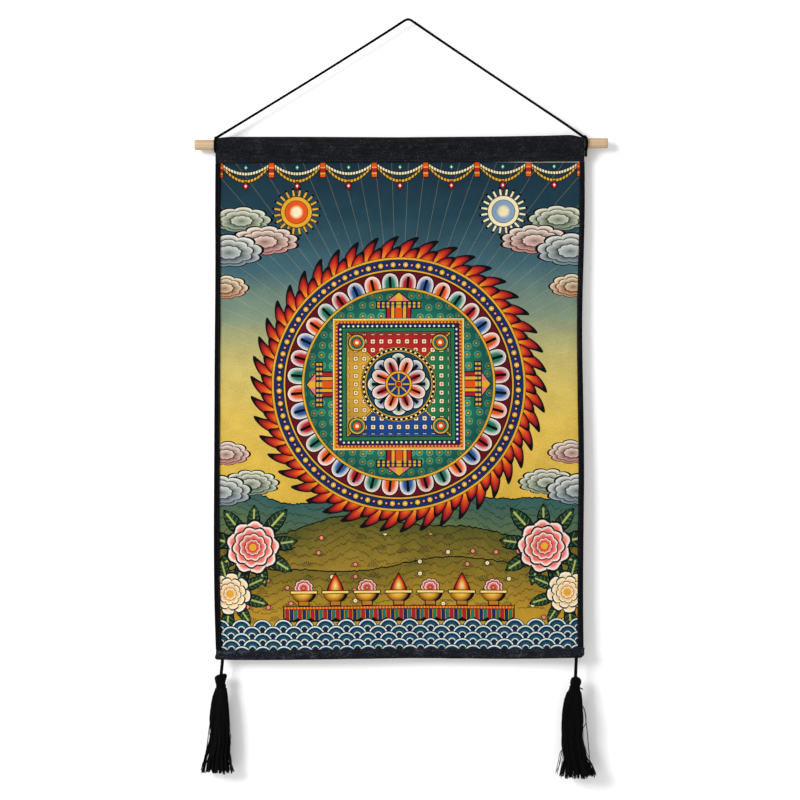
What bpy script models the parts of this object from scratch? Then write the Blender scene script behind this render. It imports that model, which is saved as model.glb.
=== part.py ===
"""A small hanging scroll: a printed canvas panel bound in black cloth, on a wooden dowel with a hanging cord.

Units are metres, +Z is up and the printed side faces -Y. The world origin is where the cord lies on its nail.
Every piece is built round the middle of the dowel's axis, and an empty carries them all down from the nail.
"""

import math
import random

import bmesh
import bpy
from mathutils import Vector

# Cloth, as seen from the front
BODY_WIDTH = 0.350
HEADING_HEIGHT = 0.0238
PRINT_HEIGHT = 0.4630
HEM_HEIGHT = 0.0085
BINDING_WIDTH = 0.0048
CLOTH = 0.0010
GAP = 0.0003
SLOT = CLOTH / 2 + GAP
LAYERED = SLOT + CLOTH

# Dowel and cord
DOWEL_RADIUS = 0.00475
DOWEL_LEFT = -0.1953
DOWEL_RIGHT = 0.1974
DOWEL_CHAMFER = 0.0004
SLEEVE_EASE = 0.0006
CORD_RADIUS = 0.0011
NAIL_TO_DOWEL = 0.1177
CENTRE_FROM_NAIL = -0.0077
SCROLL_AT = Vector((CENTRE_FROM_NAIL, 0.0, -NAIL_TO_DOWEL))

# The dowel hangs a touch higher at its right end. The cloth follows it and keeps its sides upright
TILT = 0.0045

# Levels, measured from the dowel's axis
SLEEVE_RADIUS = DOWEL_RADIUS + SLEEVE_EASE + CLOTH
HEADING_BOTTOM = SLEEVE_RADIUS - HEADING_HEIGHT
HEADING_SEAM = HEADING_BOTTOM + 0.0060
HEM_TOP = HEADING_BOTTOM - PRINT_HEIGHT
HEM_BOTTOM = HEM_TOP - HEM_HEIGHT
PANEL_TOP = HEADING_SEAM - 0.0005
PANEL_BOTTOM = HEM_TOP - 0.0034
PANEL_INSET = CLOTH + GAP

# Ends along the dowel
HEADING_LEFT = -0.1748
HEADING_RIGHT = 0.1751
HEM_LEFT = -0.1745
HEM_RIGHT = 0.1742
LOOP_OFFSET = GAP + CORD_RADIUS

# The hem's lower edge is a round pocket that holds the tassels' cords, and that sticks out at the hem's ends
POCKET_RADIUS = 0.0014
HEM_RADIUS = POCKET_RADIUS + CLOTH
HEM_WAIST = HEM_TOP - 0.0038
HEM_SPREAD = 0.009
CORD_HOLE_RADIUS = 0.0015

# How the cloth stands off the plane through the dowel: it leans forward and ripples a little
FORWARD = 0.0060
LEAN_POWER = 1.6
RIPPLE = 0.0012
RIPPLES_ACROSS = 1.35
RIPPLE_START = 0.6
SWAY = 0.0006
SWAYS_DOWN = 2.5

# Outline of the sides: share of the way down, then how far the left and right edges stand out of line
EDGE_ROWS = (
    # down, left_out, right_out
    (0.00, 0.0001, -0.0001),
    (0.18, 0.0002, -0.0011),
    (0.30, 0.0007, -0.0029),
    (0.38, 0.0011, -0.0028),
    (0.48, 0.0011, -0.0020),
    (0.62, 0.0013, -0.0011),
    (0.76, 0.0016, -0.0018),
    (0.90, 0.0010, -0.0020),
    (1.00, -0.0006, -0.0011),
)

# Outline of the foot: share of the way across, then how far the hem hangs below its level
SAG_ROWS = (
    # across, drop
    (0.00, 0.0004),
    (0.12, 0.0009),
    (0.30, 0.0003),
    (0.55, 0.0000),
    (0.80, 0.0002),
    (1.00, -0.0004),
)

# The hanging cord's route from one knot over the nail to the other, as x and z from the nail
CORD_ROUTE = (
    (-0.18278, -0.11055),
    (-0.15500, -0.09391),
    (-0.12500, -0.07576),
    (-0.09500, -0.05739),
    (-0.06500, -0.03881),
    (-0.03500, -0.02003),
    (-0.01400, -0.00676),
    (-0.00600, -0.00168),
    (-0.00300, 0.00018),
    (0.00000, 0.00110),
    (0.00290, 0.00012),
    (0.00580, -0.00178),
    (0.01400, -0.00734),
    (0.03500, -0.02148),
    (0.06500, -0.04151),
    (0.09500, -0.06132),
    (0.12500, -0.08091),
    (0.14800, -0.09577),
    (0.16776, -0.10845),
)
CORD_STEPS = 4
CORD_SIDES = 2

# The cord's ends: a turn round the dowel with a knot on top, and a tail whose points start inside the turn
LOOP_RADIUS = DOWEL_RADIUS + GAP + CORD_RADIUS
KNOT_LIFT = 0.0003
LEFT_LOOP = {
    "x": HEADING_LEFT - LOOP_OFFSET,
    "bow": 0.0002,
    "knot_radius": 0.0016,
    # out, y, z
    "tail": ((0.0000, 0.0058, -0.0021), (-0.0006, 0.0066, -0.0052), (-0.0016, 0.0056, -0.0085),
             (-0.0016, 0.0045, -0.0115), (-0.0004, 0.0039, -0.0142)),
}
RIGHT_LOOP = {
    "x": HEADING_RIGHT + LOOP_OFFSET,
    "bow": 0.0013,
    "knot_radius": 0.0019,
    "tail": ((0.0004, -0.0025, -0.0056), (0.0002, -0.0020, -0.0078), (0.0001, -0.0012, -0.0102),
             (0.0002, -0.0010, -0.0128)),
}

# Tassels. Rows of the head run up from the neck, and rows of the skirt run down from it
STRAND_GRID = 8
STRAND_GAP = 0.0003
STRAND_WANDER = 0.025
HEAD_DEPTH_SHARE = 0.92
TIE_RADIUS = 0.0008
LEFT_TASSEL = {
    "hole_x": -0.1689,
    "neck": (-0.1703, -0.5167),
    "tie_up": 0.0022,
    "tip_spread": 0.0045,
    "wander_seed": 3,
    # up, shift, half_width
    "head": ((0.0009, 0.0000, 0.0043), (0.0011, 0.0000, 0.0027), (0.0033, 0.0000, 0.0027),
             (0.0036, -0.0002, 0.0042), (0.0072, -0.0005, 0.0046), (0.0098, -0.0002, 0.0052),
             (0.0116, 0.0001, 0.0050), (0.0128, 0.0003, 0.0034)),
    # down, shift, half_width, half_depth, fill
    "skirt": ((0.0000, 0.0000, 0.0044, 0.0040, 1.00), (0.0050, -0.0005, 0.0058, 0.0050, 1.00),
              (0.0118, -0.0011, 0.0074, 0.0060, 1.00), (0.0300, -0.0010, 0.0090, 0.0068, 1.05),
              (0.0560, -0.0022, 0.0114, 0.0080, 1.00), (0.0808, -0.0050, 0.0146, 0.0094, 0.55)),
}
RIGHT_TASSEL = {
    "hole_x": 0.1674,
    "neck": (0.1657, -0.5200),
    "tie_up": 0.0035,
    "tip_spread": 0.0050,
    "wander_seed": 8,
    "head": ((0.0010, 0.0000, 0.0052), (0.0021, 0.0002, 0.0048), (0.0024, 0.0004, 0.0029),
             (0.0046, 0.0005, 0.0029), (0.0050, 0.0008, 0.0043), (0.0072, 0.0011, 0.0051),
             (0.0098, 0.0013, 0.0051), (0.0120, 0.0013, 0.0038), (0.0134, 0.0012, 0.0020)),
    "skirt": ((0.0000, 0.0000, 0.0053, 0.0046, 1.00), (0.0066, -0.0008, 0.0078, 0.0062, 1.00),
              (0.0230, -0.0026, 0.0088, 0.0068, 1.05), (0.0500, -0.0019, 0.0112, 0.0080, 1.00),
              (0.0650, -0.0004, 0.0146, 0.0092, 0.95), (0.0815, 0.0028, 0.0178, 0.0106, 0.50)),
}

# Finish of each kind of piece: colour, roughness
FINISHES = {
    "printed_canvas": ((0.78, 0.62, 0.22, 1.0), 0.85),
    "black_cloth": ((0.016, 0.017, 0.021, 1.0), 0.92),
    "dowel_wood": ((0.72, 0.52, 0.33, 1.0), 0.60),
    "black_cord": ((0.010, 0.010, 0.011, 1.0), 0.75),
    "tassel_thread": ((0.008, 0.008, 0.009, 1.0), 0.55),
}


def clear_scene():
    for obj in list(bpy.data.objects):
        bpy.data.objects.remove(obj)


def material(name):
    found = bpy.data.materials.get(name)
    if found:
        return found
    colour, roughness = FINISHES[name]
    made = bpy.data.materials.new(name)
    made.use_nodes = True
    shader = made.node_tree.nodes["Principled BSDF"]
    shader.inputs["Base Color"].default_value = colour
    shader.inputs["Roughness"].default_value = roughness
    shader.inputs["Metallic"].default_value = 0.0
    return made


def add_object(name, data, finish, parent):
    obj = bpy.data.objects.new(name, data)
    bpy.context.scene.collection.objects.link(obj)
    obj.parent = parent
    obj.data.materials.append(material(finish))
    return obj


def mesh_object(name, bm, finish, parent, sharp_angle=40.0):
    bmesh.ops.recalc_face_normals(bm, faces=bm.faces)
    mesh = bpy.data.meshes.new(name)
    bm.to_mesh(mesh)
    bm.free()
    mesh.shade_smooth()
    mesh.set_sharp_from_angle(angle=math.radians(sharp_angle))
    return add_object(name, mesh, finish, parent)


def hide_operand(obj):
    """A Boolean's operand, which is not a piece of its own."""
    obj.hide_render = True
    obj.display_type = "WIRE"
    return obj


def combine(obj, operand, operation):
    step = obj.modifiers.new(operand.name, "BOOLEAN")
    step.operation = operation
    step.solver = "EXACT"
    step.object = operand


def between(rows, at, column):
    """The column's value at that share, on straight lines between the table's rows."""
    for low, high in zip(rows, rows[1:]):
        if at <= high[0]:
            share = (at - low[0]) / (high[0] - low[0])
            return low[column] + (high[column] - low[column]) * max(share, 0.0)
    return rows[-1][column]


def eased(rows, at, column):
    """The same, smoothed by averaging over a short stretch each way."""
    reach = 0.05
    offsets = (-reach, -reach / 2, 0.0, reach / 2, reach)
    return sum(between(rows, min(max(at + o, 0.0), 1.0), column) for o in offsets) / len(offsets)


def share_down(z):
    return min(max((HEADING_BOTTOM - z) / (HEADING_BOTTOM - HEM_BOTTOM), 0.0), 1.0)


def share_across(x):
    return min(max(x / BODY_WIDTH + 0.5, 0.0), 1.0)


def cloth_depth(x, z):
    """How far the middle of the cloth stands from the dowel's plane, with -Y to the front."""
    down = share_down(z)
    across = share_across(x)
    lean = -FORWARD * down**LEAN_POWER
    ripple = RIPPLE * down * math.cos(math.tau * RIPPLES_ACROSS * across + RIPPLE_START)
    sway = SWAY * down * math.sin(math.tau * SWAYS_DOWN * down) * (2 * across - 1)
    return lean + ripple + sway


def side_x(side, z):
    """Where the outer edge of the cloth is, on the side -1 or 1, at that height."""
    column = 1 if side < 0 else 2
    return side * (BODY_WIDTH / 2 + eased(EDGE_ROWS, share_down(z), column))


def hung(x, y, z):
    """A place on the flat cloth, with y its distance from the middle of the cloth, as it hangs."""
    sag = -eased(SAG_ROWS, share_across(x), 1) * share_down(z) ** 3
    return Vector((x, cloth_depth(x, z) + y, z + TILT * x + sag))


def swept(section, stations, place):
    """A solid whose section, a ring of flat points, is carried through the stations by place."""
    bm = bmesh.new()
    ring = [bm.verts.new(place(stations[0], a, b)) for a, b in section]
    cap = bm.faces.new(ring)
    for station in stations[1:]:
        cap = bmesh.ops.extrude_discrete_faces(bm, faces=[cap])["faces"][0]
        for vert, (a, b) in zip(cap.verts, section):
            vert.co = place(station, a, b)
    start = bm.faces.new(reversed(ring))
    start.smooth = False
    return bm


def arc(radius, start, end, steps, centre=(0.0, 0.0)):
    """Points along an arc from one angle to another, in radians from +Y towards +Z."""
    angles = [start + (end - start) * i / steps for i in range(steps + 1)]
    return [(centre[0] + radius * math.cos(t), centre[1] + radius * math.sin(t)) for t in angles]


def tangent_angle(radius, y, z):
    """Where a straight run of cloth from (y, z) below meets a circle round the dowel, on the +Y side."""
    return math.atan2(z, y) + math.acos(radius / math.hypot(y, z))


def stations_between(start, end, count):
    return [start + (end - start) * i / (count - 1) for i in range(count)]


def add_dowel(parent):
    bm = bmesh.new()
    bmesh.ops.create_cone(
        bm,
        cap_ends=True,
        segments=32,
        radius1=DOWEL_RADIUS,
        radius2=DOWEL_RADIUS,
        depth=DOWEL_RIGHT - DOWEL_LEFT,
    )
    rims = [e for e in bm.edges if abs(e.verts[0].co.z - e.verts[1].co.z) < GAP]
    bmesh.ops.bevel(
        bm, geom=rims, offset=DOWEL_CHAMFER, segments=1, profile=0.5, affect="EDGES", material=-1
    )
    dowel = mesh_object("dowel", bm, "dowel_wood", parent)
    middle = (DOWEL_LEFT + DOWEL_RIGHT) / 2
    dowel.location = (middle, 0.0, TILT * middle)
    dowel.rotation_euler = (0.0, math.radians(90) - math.atan(TILT), 0.0)


def add_heading(parent):
    """A sleeve folded over the dowel, its two layers closing on the top of the panel."""
    arc_steps = 12
    inner_radius = SLEEVE_RADIUS - CLOTH
    outer_start = tangent_angle(SLEEVE_RADIUS, LAYERED, HEADING_SEAM)
    inner_start = tangent_angle(inner_radius, SLOT, HEADING_SEAM)
    outer = arc(SLEEVE_RADIUS, outer_start, math.pi - outer_start, arc_steps)
    inner = arc(inner_radius, math.pi - inner_start, inner_start, arc_steps)
    section = [
        (LAYERED, HEADING_BOTTOM), (LAYERED, HEADING_SEAM), *outer,
        (-LAYERED, HEADING_SEAM), (-LAYERED, HEADING_BOTTOM),
        (-SLOT, HEADING_BOTTOM), (-SLOT, HEADING_SEAM), *inner,
        (SLOT, HEADING_SEAM), (SLOT, HEADING_BOTTOM),
    ]
    stations = stations_between(HEADING_LEFT, HEADING_RIGHT, 9)
    mesh_object("heading", swept(section, stations, hung), "black_cloth", parent)


def add_print_panel(parent):
    columns, rows = 14, 18
    bm = bmesh.new()
    bmesh.ops.create_grid(bm, x_segments=columns, y_segments=rows, size=0.5)
    back = bmesh.ops.extrude_face_region(bm, geom=bm.faces[:])["geom"]
    back_verts = {g for g in back if isinstance(g, bmesh.types.BMVert)}
    for vert in bm.verts:
        z = PANEL_BOTTOM + (PANEL_TOP - PANEL_BOTTOM) * (vert.co.y + 0.5)
        left = side_x(-1, z) + PANEL_INSET
        right = side_x(1, z) - PANEL_INSET
        x = left + (right - left) * (vert.co.x + 0.5)
        vert.co = hung(x, CLOTH / 2 if vert in back_verts else -CLOTH / 2, z)
    mesh_object("print_panel", bm, "printed_canvas", parent)


def add_side_binding(name, side, parent):
    """A strip folded round the panel's side edge. Its section runs inwards from the outer edge."""
    ease = CLOTH / 3
    section = [
        (BINDING_WIDTH, -LAYERED), (CLOTH, -LAYERED), (ease, -LAYERED + ease), (0.0, -LAYERED + CLOTH),
        (0.0, LAYERED - CLOTH), (ease, LAYERED - ease), (CLOTH, LAYERED), (BINDING_WIDTH, LAYERED),
        (BINDING_WIDTH, SLOT), (CLOTH, SLOT), (CLOTH, -SLOT), (BINDING_WIDTH, -SLOT),
    ]

    def place(z, inwards, y):
        return hung(side_x(side, z) - side * inwards, y, z)

    stations = stations_between(HEADING_BOTTOM - GAP, HEM_TOP + GAP, 14)
    mesh_object(name, swept(section, stations, place), "black_cloth", parent)


def add_hem(parent):
    """A strip folded round the panel's foot, with a round pocket below it and a hole for each tassel's cord."""
    pocket_centre = (0.0, HEM_BOTTOM + HEM_RADIUS)
    lean = math.radians(20)
    outer = arc(HEM_RADIUS, lean, -math.pi - lean, 12, pocket_centre)
    inner = arc(POCKET_RADIUS, -math.pi - lean, lean, 10, pocket_centre)
    section = [
        (LAYERED, HEM_TOP), (LAYERED, HEM_WAIST), *outer, (-LAYERED, HEM_WAIST), (-LAYERED, HEM_TOP),
        (-SLOT, HEM_TOP), (-SLOT, HEM_WAIST), *inner, (SLOT, HEM_WAIST), (SLOT, HEM_TOP),
    ]

    def place(x, y, z):
        share = (HEM_TOP - z) / HEM_HEIGHT
        return hung(x * (1 + HEM_SPREAD * share), y, z)

    stations = stations_between(HEM_LEFT, HEM_RIGHT, 13)
    hem = mesh_object("bottom_hem", swept(section, stations, place), "black_cloth", parent)
    for side, tassel in (("left", LEFT_TASSEL), ("right", RIGHT_TASSEL)):
        combine(hem, add_hole_cutter("hem_hole_" + side, tassel["hole_x"], parent), "DIFFERENCE")


def add_hole_cutter(name, x, parent):
    depth = 3 * CLOTH
    bm = bmesh.new()
    bmesh.ops.create_cone(
        bm,
        cap_ends=True,
        segments=16,
        radius1=CORD_HOLE_RADIUS,
        radius2=CORD_HOLE_RADIUS,
        depth=depth,
    )
    cutter = mesh_object(name, bm, "black_cloth", parent)
    top = hung(x, 0.0, HEM_BOTTOM).z + 1.6 * CLOTH
    cutter.location = (x, cloth_depth(x, HEM_BOTTOM), top - depth / 2)
    return hide_operand(cutter)


def smooth_points(route, steps):
    """Points on a smooth curve through the route's own points."""
    padded = [route[0] * 2 - route[1], *route, route[-1] * 2 - route[-2]]
    points = []
    for before, start, end, after in zip(padded, padded[1:], padded[2:], padded[3:]):
        for i in range(steps):
            t = i / steps
            linear = (end - before) * t
            square = (before * 2 - start * 5 + end * 4 - after) * t**2
            cube = (start * 3 - before - end * 3 + after) * t**3
            points.append((start * 2 + linear + square + cube) / 2)
    return [*points, route[-1]]


def add_cord(name, route, parent):
    curve = bpy.data.curves.new(name, "CURVE")
    curve.dimensions = "3D"
    curve.bevel_depth = CORD_RADIUS
    curve.bevel_resolution = CORD_SIDES
    curve.use_fill_caps = True
    points = smooth_points([Vector(p) for p in route], CORD_STEPS)
    spline = curve.splines.new("POLY")
    spline.points.add(len(points) - 1)
    for made, point in zip(spline.points, points):
        made.co = (*point, 1.0)
    return add_object(name, curve, "black_cord", parent)


def add_hanging_cord(parent):
    route = [Vector((x, 0.0, z)) - SCROLL_AT for x, z in CORD_ROUTE]
    add_cord("hanging_cord", route, parent)


def add_ring(name, major, minor, sides, finish, parent):
    """A ring of round section about the Z axis."""
    bm = bmesh.new()
    circle = bmesh.ops.create_circle(bm, cap_ends=False, segments=sides, radius=minor)["verts"]
    for vert in circle:
        vert.co = (major + vert.co.x, 0.0, vert.co.y)
    bmesh.ops.spin(
        bm,
        geom=circle + bm.edges[:],
        cent=(0.0, 0.0, 0.0),
        axis=(0.0, 0.0, 1.0),
        angle=math.tau,
        steps=24,
        use_merge=True,
        use_duplicate=False,
    )
    return mesh_object(name, bm, finish, parent)


def add_cord_loop(name, side, loop, parent):
    """The cord's end: a turn round the dowel outside the heading, a knot on top of it and a short tail."""
    middle = Vector((loop["x"], 0.0, TILT * loop["x"]))
    turn = add_ring(name, LOOP_RADIUS, CORD_RADIUS, 8, "black_cord", parent)
    for vert in turn.data.vertices:
        front = max(vert.co.y / -LOOP_RADIUS, 0.0)
        out = vert.co.z + loop["bow"] * front
        vert.co = (side * out, vert.co.y, side * vert.co.x)
    turn.location = middle

    bm = bmesh.new()
    bmesh.ops.create_icosphere(bm, subdivisions=2, radius=loop["knot_radius"])
    knot = hide_operand(mesh_object(name + "_knot", bm, "black_cord", parent))
    knot_out = loop["knot_radius"] + GAP - LOOP_OFFSET
    knot_up = DOWEL_RADIUS + GAP + loop["knot_radius"] + KNOT_LIFT
    knot.location = middle + Vector((side * knot_out, 0.0, knot_up))
    combine(turn, knot, "UNION")

    route = [middle + Vector((side * out, y, z)) for out, y, z in loop["tail"]]
    tube = add_cord(name + "_tube", route, parent)
    tail = add_object(name + "_tail", bpy.data.meshes.new_from_object(tube), "black_cord", parent)
    bpy.data.objects.remove(tube)
    combine(turn, hide_operand(tail), "UNION")


def disc_place(u, v):
    """A square's point moved to a round disc, so that a square grid becomes round."""
    return u * math.sqrt(1 - v * v / 2), v * math.sqrt(1 - u * u / 2)


def skirt_at(rows, down):
    return [between(rows, down, column) for column in (1, 2, 3, 4)]


def add_neck_grid(bm, rows):
    """The head's underside: a round grid with one cell for each strand."""
    bmesh.ops.create_grid(bm, x_segments=STRAND_GRID, y_segments=STRAND_GRID, size=1.0)
    for vert in bm.verts:
        u, v = disc_place(vert.co.x, vert.co.y)
        vert.co = (u * rows[0][2], v * rows[0][3], 0.0)


def raise_head(bm, tassel):
    """The head's sides and top, drawn up from the rim of its underside."""
    half_width, half_depth = tassel["skirt"][0][2:4]
    shift = 0.0
    rim = [e for e in bm.edges if e.is_boundary]
    for height, next_shift, next_width in tassel["head"]:
        made = bmesh.ops.extrude_edge_only(bm, edges=rim)["geom"]
        rim = [g for g in made if isinstance(g, bmesh.types.BMEdge)]
        next_depth = next_width * HEAD_DEPTH_SHARE
        for vert in {v for e in rim for v in e.verts}:
            across = (vert.co.x - shift) / half_width
            deep = vert.co.y / half_depth
            vert.co = (next_shift + across * next_width, deep * next_depth, height)
        shift, half_width, half_depth = next_shift, next_width, next_depth
    bmesh.ops.holes_fill(bm, edges=rim, sides=0)


def draw_strands(bm, cells, tassel):
    """Each cell's inner part, drawn down on its own line through the skirt's rows."""
    rows = tassel["skirt"]
    half_width, half_depth = rows[0][2:4]
    length = rows[-1][0]
    chance = random.Random(tassel["wander_seed"])
    bmesh.ops.inset_individual(bm, faces=cells, thickness=STRAND_GAP / 2, use_even_offset=True)
    for cell in cells:
        corners = [Vector((v.co.x / half_width, v.co.y / half_depth)) for v in cell.verts]
        middle = sum(corners, Vector((0.0, 0.0))) / len(corners)
        stray = Vector([chance.uniform(-STRAND_WANDER, STRAND_WANDER) for _ in middle])
        tip = length - chance.uniform(0.0, tassel["tip_spread"])
        face = cell
        for down in [*[row[0] for row in rows[1:-1]], tip]:
            shift, width, depth, fill = skirt_at(rows, down)
            face = bmesh.ops.extrude_discrete_faces(bm, faces=[face])["faces"][0]
            for vert, corner in zip(face.verts, corners):
                place = middle.lerp(corner, fill) + stray * down / length
                vert.co = (shift + place.x * width, place.y * depth, -down)


def is_corner_cell(face, rows):
    """Whether the cell is one of the round grid's four corners, which are too flat to carry a strand."""
    middle = face.calc_center_median()
    u, v = abs(middle.x / rows[0][2]), abs(middle.y / rows[0][3])
    corner_place = 0.78
    return abs(u - v) < 0.05 and math.hypot(u, v) > corner_place


def add_tassel(name, tassel, parent):
    bm = bmesh.new()
    add_neck_grid(bm, tassel["skirt"])
    bmesh.ops.reverse_faces(bm, faces=bm.faces)
    cells = [face for face in bm.faces if not is_corner_cell(face, tassel["skirt"])]
    raise_head(bm, tassel)
    draw_strands(bm, cells, tassel)
    made = mesh_object(name, bm, "tassel_thread", parent, sharp_angle=60.0)
    x, z = tassel["neck"]
    made.location = (x, cloth_depth(tassel["hole_x"], HEM_BOTTOM), z)


def add_neck_tie(name, tassel, parent):
    """The thread wound round the neck, lying in the head's groove."""
    _, shift, groove = min(tassel["head"][:4], key=lambda row: row[2])
    tie = add_ring(name, groove + GAP + TIE_RADIUS, TIE_RADIUS, 6, "tassel_thread", parent)
    for vert in tie.data.vertices:
        vert.co.y *= HEAD_DEPTH_SHARE
    x, z = tassel["neck"]
    tie.location = (x + shift, cloth_depth(tassel["hole_x"], HEM_BOTTOM), z + tassel["tie_up"])


def add_tassel_cord(name, tassel, parent):
    """From inside the hem's pocket, through its hole, to the top of the tassel's head."""
    hole = hung(tassel["hole_x"], 0.0, HEM_BOTTOM)
    top_up, top_shift, _ = tassel["head"][-1]
    x, z = tassel["neck"]
    start = hole + Vector((0.0, 0.0, HEM_RADIUS))
    below_hole = hole - Vector((0.0, 0.0, CLOTH))
    end = Vector((x + top_shift, hole.y, z + top_up + GAP))
    middle = (below_hole + end) / 2
    above_head = end + Vector((0.0, 0.0, 2 * CORD_RADIUS))
    add_cord(name, (start, hole, below_hole, middle, above_head, end), parent)


def build():
    clear_scene()
    scroll = bpy.data.objects.new("scroll_middle", None)
    bpy.context.scene.collection.objects.link(scroll)
    scroll.location = SCROLL_AT
    add_dowel(scroll)
    add_heading(scroll)
    add_print_panel(scroll)
    add_side_binding("side_binding_left", -1, scroll)
    add_side_binding("side_binding_right", 1, scroll)
    add_hem(scroll)
    add_hanging_cord(scroll)
    add_cord_loop("cord_loop_left", -1, LEFT_LOOP, scroll)
    add_cord_loop("cord_loop_right", 1, RIGHT_LOOP, scroll)
    for side, tassel in (("left", LEFT_TASSEL), ("right", RIGHT_TASSEL)):
        add_tassel_cord("tassel_cord_" + side, tassel, scroll)
        add_tassel("tassel_" + side, tassel, scroll)
        add_neck_tie("neck_tie_" + side, tassel, scroll)


build()
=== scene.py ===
"""A small hung scroll: a printed canvas bound in black cloth, on a dowel with a cord and two tassels.

Units are metres. The world origin is where the cord lies on its nail, and the printed side faces -Y.
"""

import math
import random

import bmesh
import bpy
from mathutils import Matrix, Vector, noise


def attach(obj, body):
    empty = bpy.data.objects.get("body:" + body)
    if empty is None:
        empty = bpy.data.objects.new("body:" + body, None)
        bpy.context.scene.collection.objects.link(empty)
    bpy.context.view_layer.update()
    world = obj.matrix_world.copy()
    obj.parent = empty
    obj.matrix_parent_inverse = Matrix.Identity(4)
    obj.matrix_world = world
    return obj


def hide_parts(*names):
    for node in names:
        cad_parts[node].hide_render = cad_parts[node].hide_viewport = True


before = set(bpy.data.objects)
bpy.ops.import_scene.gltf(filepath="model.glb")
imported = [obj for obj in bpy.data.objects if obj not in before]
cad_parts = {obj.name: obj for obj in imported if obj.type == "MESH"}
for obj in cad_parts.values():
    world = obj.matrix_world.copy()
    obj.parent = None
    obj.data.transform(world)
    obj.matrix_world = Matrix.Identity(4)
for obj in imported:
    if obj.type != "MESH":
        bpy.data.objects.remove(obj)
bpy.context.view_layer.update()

# The body of the scroll, as the source has it, with the hem's top edge a little higher, where it was sewn
SCROLL_AT = Vector((-0.0077, 0.0, -0.1177))
BODY_WIDTH = 0.350
BINDING_WIDTH = 0.0048
CLOTH = 0.0010
GAP = 0.0003
SLOT = CLOTH / 2 + GAP
LAYERED = SLOT + CLOTH
TILT = 0.0045
DOWEL_RADIUS = 0.00475
DOWEL_LEFT = -0.1953
DOWEL_RIGHT = 0.1974
SLEEVE_RADIUS = 0.00635
HEADING_BOTTOM = -0.01745
HEADING_SEAM = -0.01145
HEADING_LEFT = -0.1748
HEADING_FLARE = 0.0007
HEADING_RIGHT = 0.1751
HEM_TOP = -0.47935
HEM_BOTTOM = -0.48895
HEM_HEIGHT = HEM_TOP - HEM_BOTTOM
HEM_WAIST = HEM_TOP - 0.0049
HEM_LEFT = -0.1745
HEM_RIGHT = 0.1742
POCKET_RADIUS = 0.0014
HEM_RADIUS = POCKET_RADIUS + CLOTH
PANEL_TOP = HEADING_SEAM - 0.0005
PANEL_BOTTOM = HEM_TOP - 0.0045
PANEL_INSET = CLOTH + GAP
CANVAS_THICK = 0.0008
CORD_RADIUS = 0.0011

# How the cloth hangs
FORWARD = 0.0060
LEAN_POWER = 1.6
RIPPLE = 0.0012
RIPPLES_ACROSS = 1.35
RIPPLE_START = 0.6
SWAY = 0.0006
SWAYS_DOWN = 2.5
EDGE_ROWS = (
    # down, left_out, right_out
    (0.00, 0.0006, 0.0004),
    (0.08, 0.0011, 0.0009),
    (0.18, 0.0007, -0.0002),
    (0.30, 0.0010, -0.0020),
    (0.38, 0.0014, -0.0019),
    (0.48, 0.0015, -0.0009),
    (0.62, 0.0018, -0.0001),
    (0.76, 0.0021, -0.0010),
    (0.90, 0.0013, -0.0014),
    (1.00, -0.0006, -0.0009),
)
SAG_ROWS = (
    # across, drop
    (0.00, 0.0003),
    (0.12, 0.0007),
    (0.30, 0.0001),
    (0.52, -0.0006),
    (0.64, -0.0001),
    (0.78, 0.0007),
    (0.90, 0.0003),
    (1.00, -0.0004),
)
HEM_END_ROWS = (
    # share down the hem, left_out, right_out
    (0.00, 0.0001, 0.0007),
    (0.20, 0.0001, 0.0005),
    (0.42, 0.0000, -0.0002),
    (0.55, 0.0004, 0.0005),
    (0.66, 0.0012, 0.0002),
    (0.80, 0.0012, -0.0008),
    (0.92, 0.0001, -0.0020),
    (1.00, -0.0014, -0.0036),
)
HEADING_RISE_ROWS = (
    # across, how much higher than its rod's curve the sleeve's slack top stands
    (0.000, 0.0002),
    (0.008, 0.0004),
    (0.019, 0.0009),
    (0.040, 0.0014),
    (0.228, 0.0011),
    (0.500, 0.0002),
    (0.771, 0.0006),
    (0.900, 0.0012),
    (0.962, 0.0018),
    (0.973, 0.0013),
    (0.985, 0.0002),
    (1.000, -0.0009),
)

# The hanging cord's route, as x and z from the nail
CORD_ROUTE = (
    (-0.18330, -0.11205),
    (-0.17800, -0.10880),
    (-0.15500, -0.09490),
    (-0.12500, -0.07650),
    (-0.09500, -0.05803),
    (-0.06500, -0.03937),
    (-0.03500, -0.02043),
    (-0.01400, -0.00700),
    (-0.00600, -0.00178),
    (-0.00300, 0.00010),
    (0.00000, 0.00102),
    (0.00290, 0.00006),
    (0.00580, -0.00188),
    (0.01400, -0.00754),
    (0.03500, -0.02188),
    (0.06500, -0.04206),
    (0.09500, -0.06220),
    (0.12500, -0.08224),
    (0.14800, -0.09760),
    (0.16560, -0.10985),
    (0.16776, -0.11130),
)
LOOP_OFFSET = GAP + CORD_RADIUS
LOOP_RADIUS = DOWEL_RADIUS + GAP + CORD_RADIUS
LOOP_CROSSING = 0.0005
KNOT_LIFT = 0.0003
KNOT_ANGLE = math.radians(98)
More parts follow.
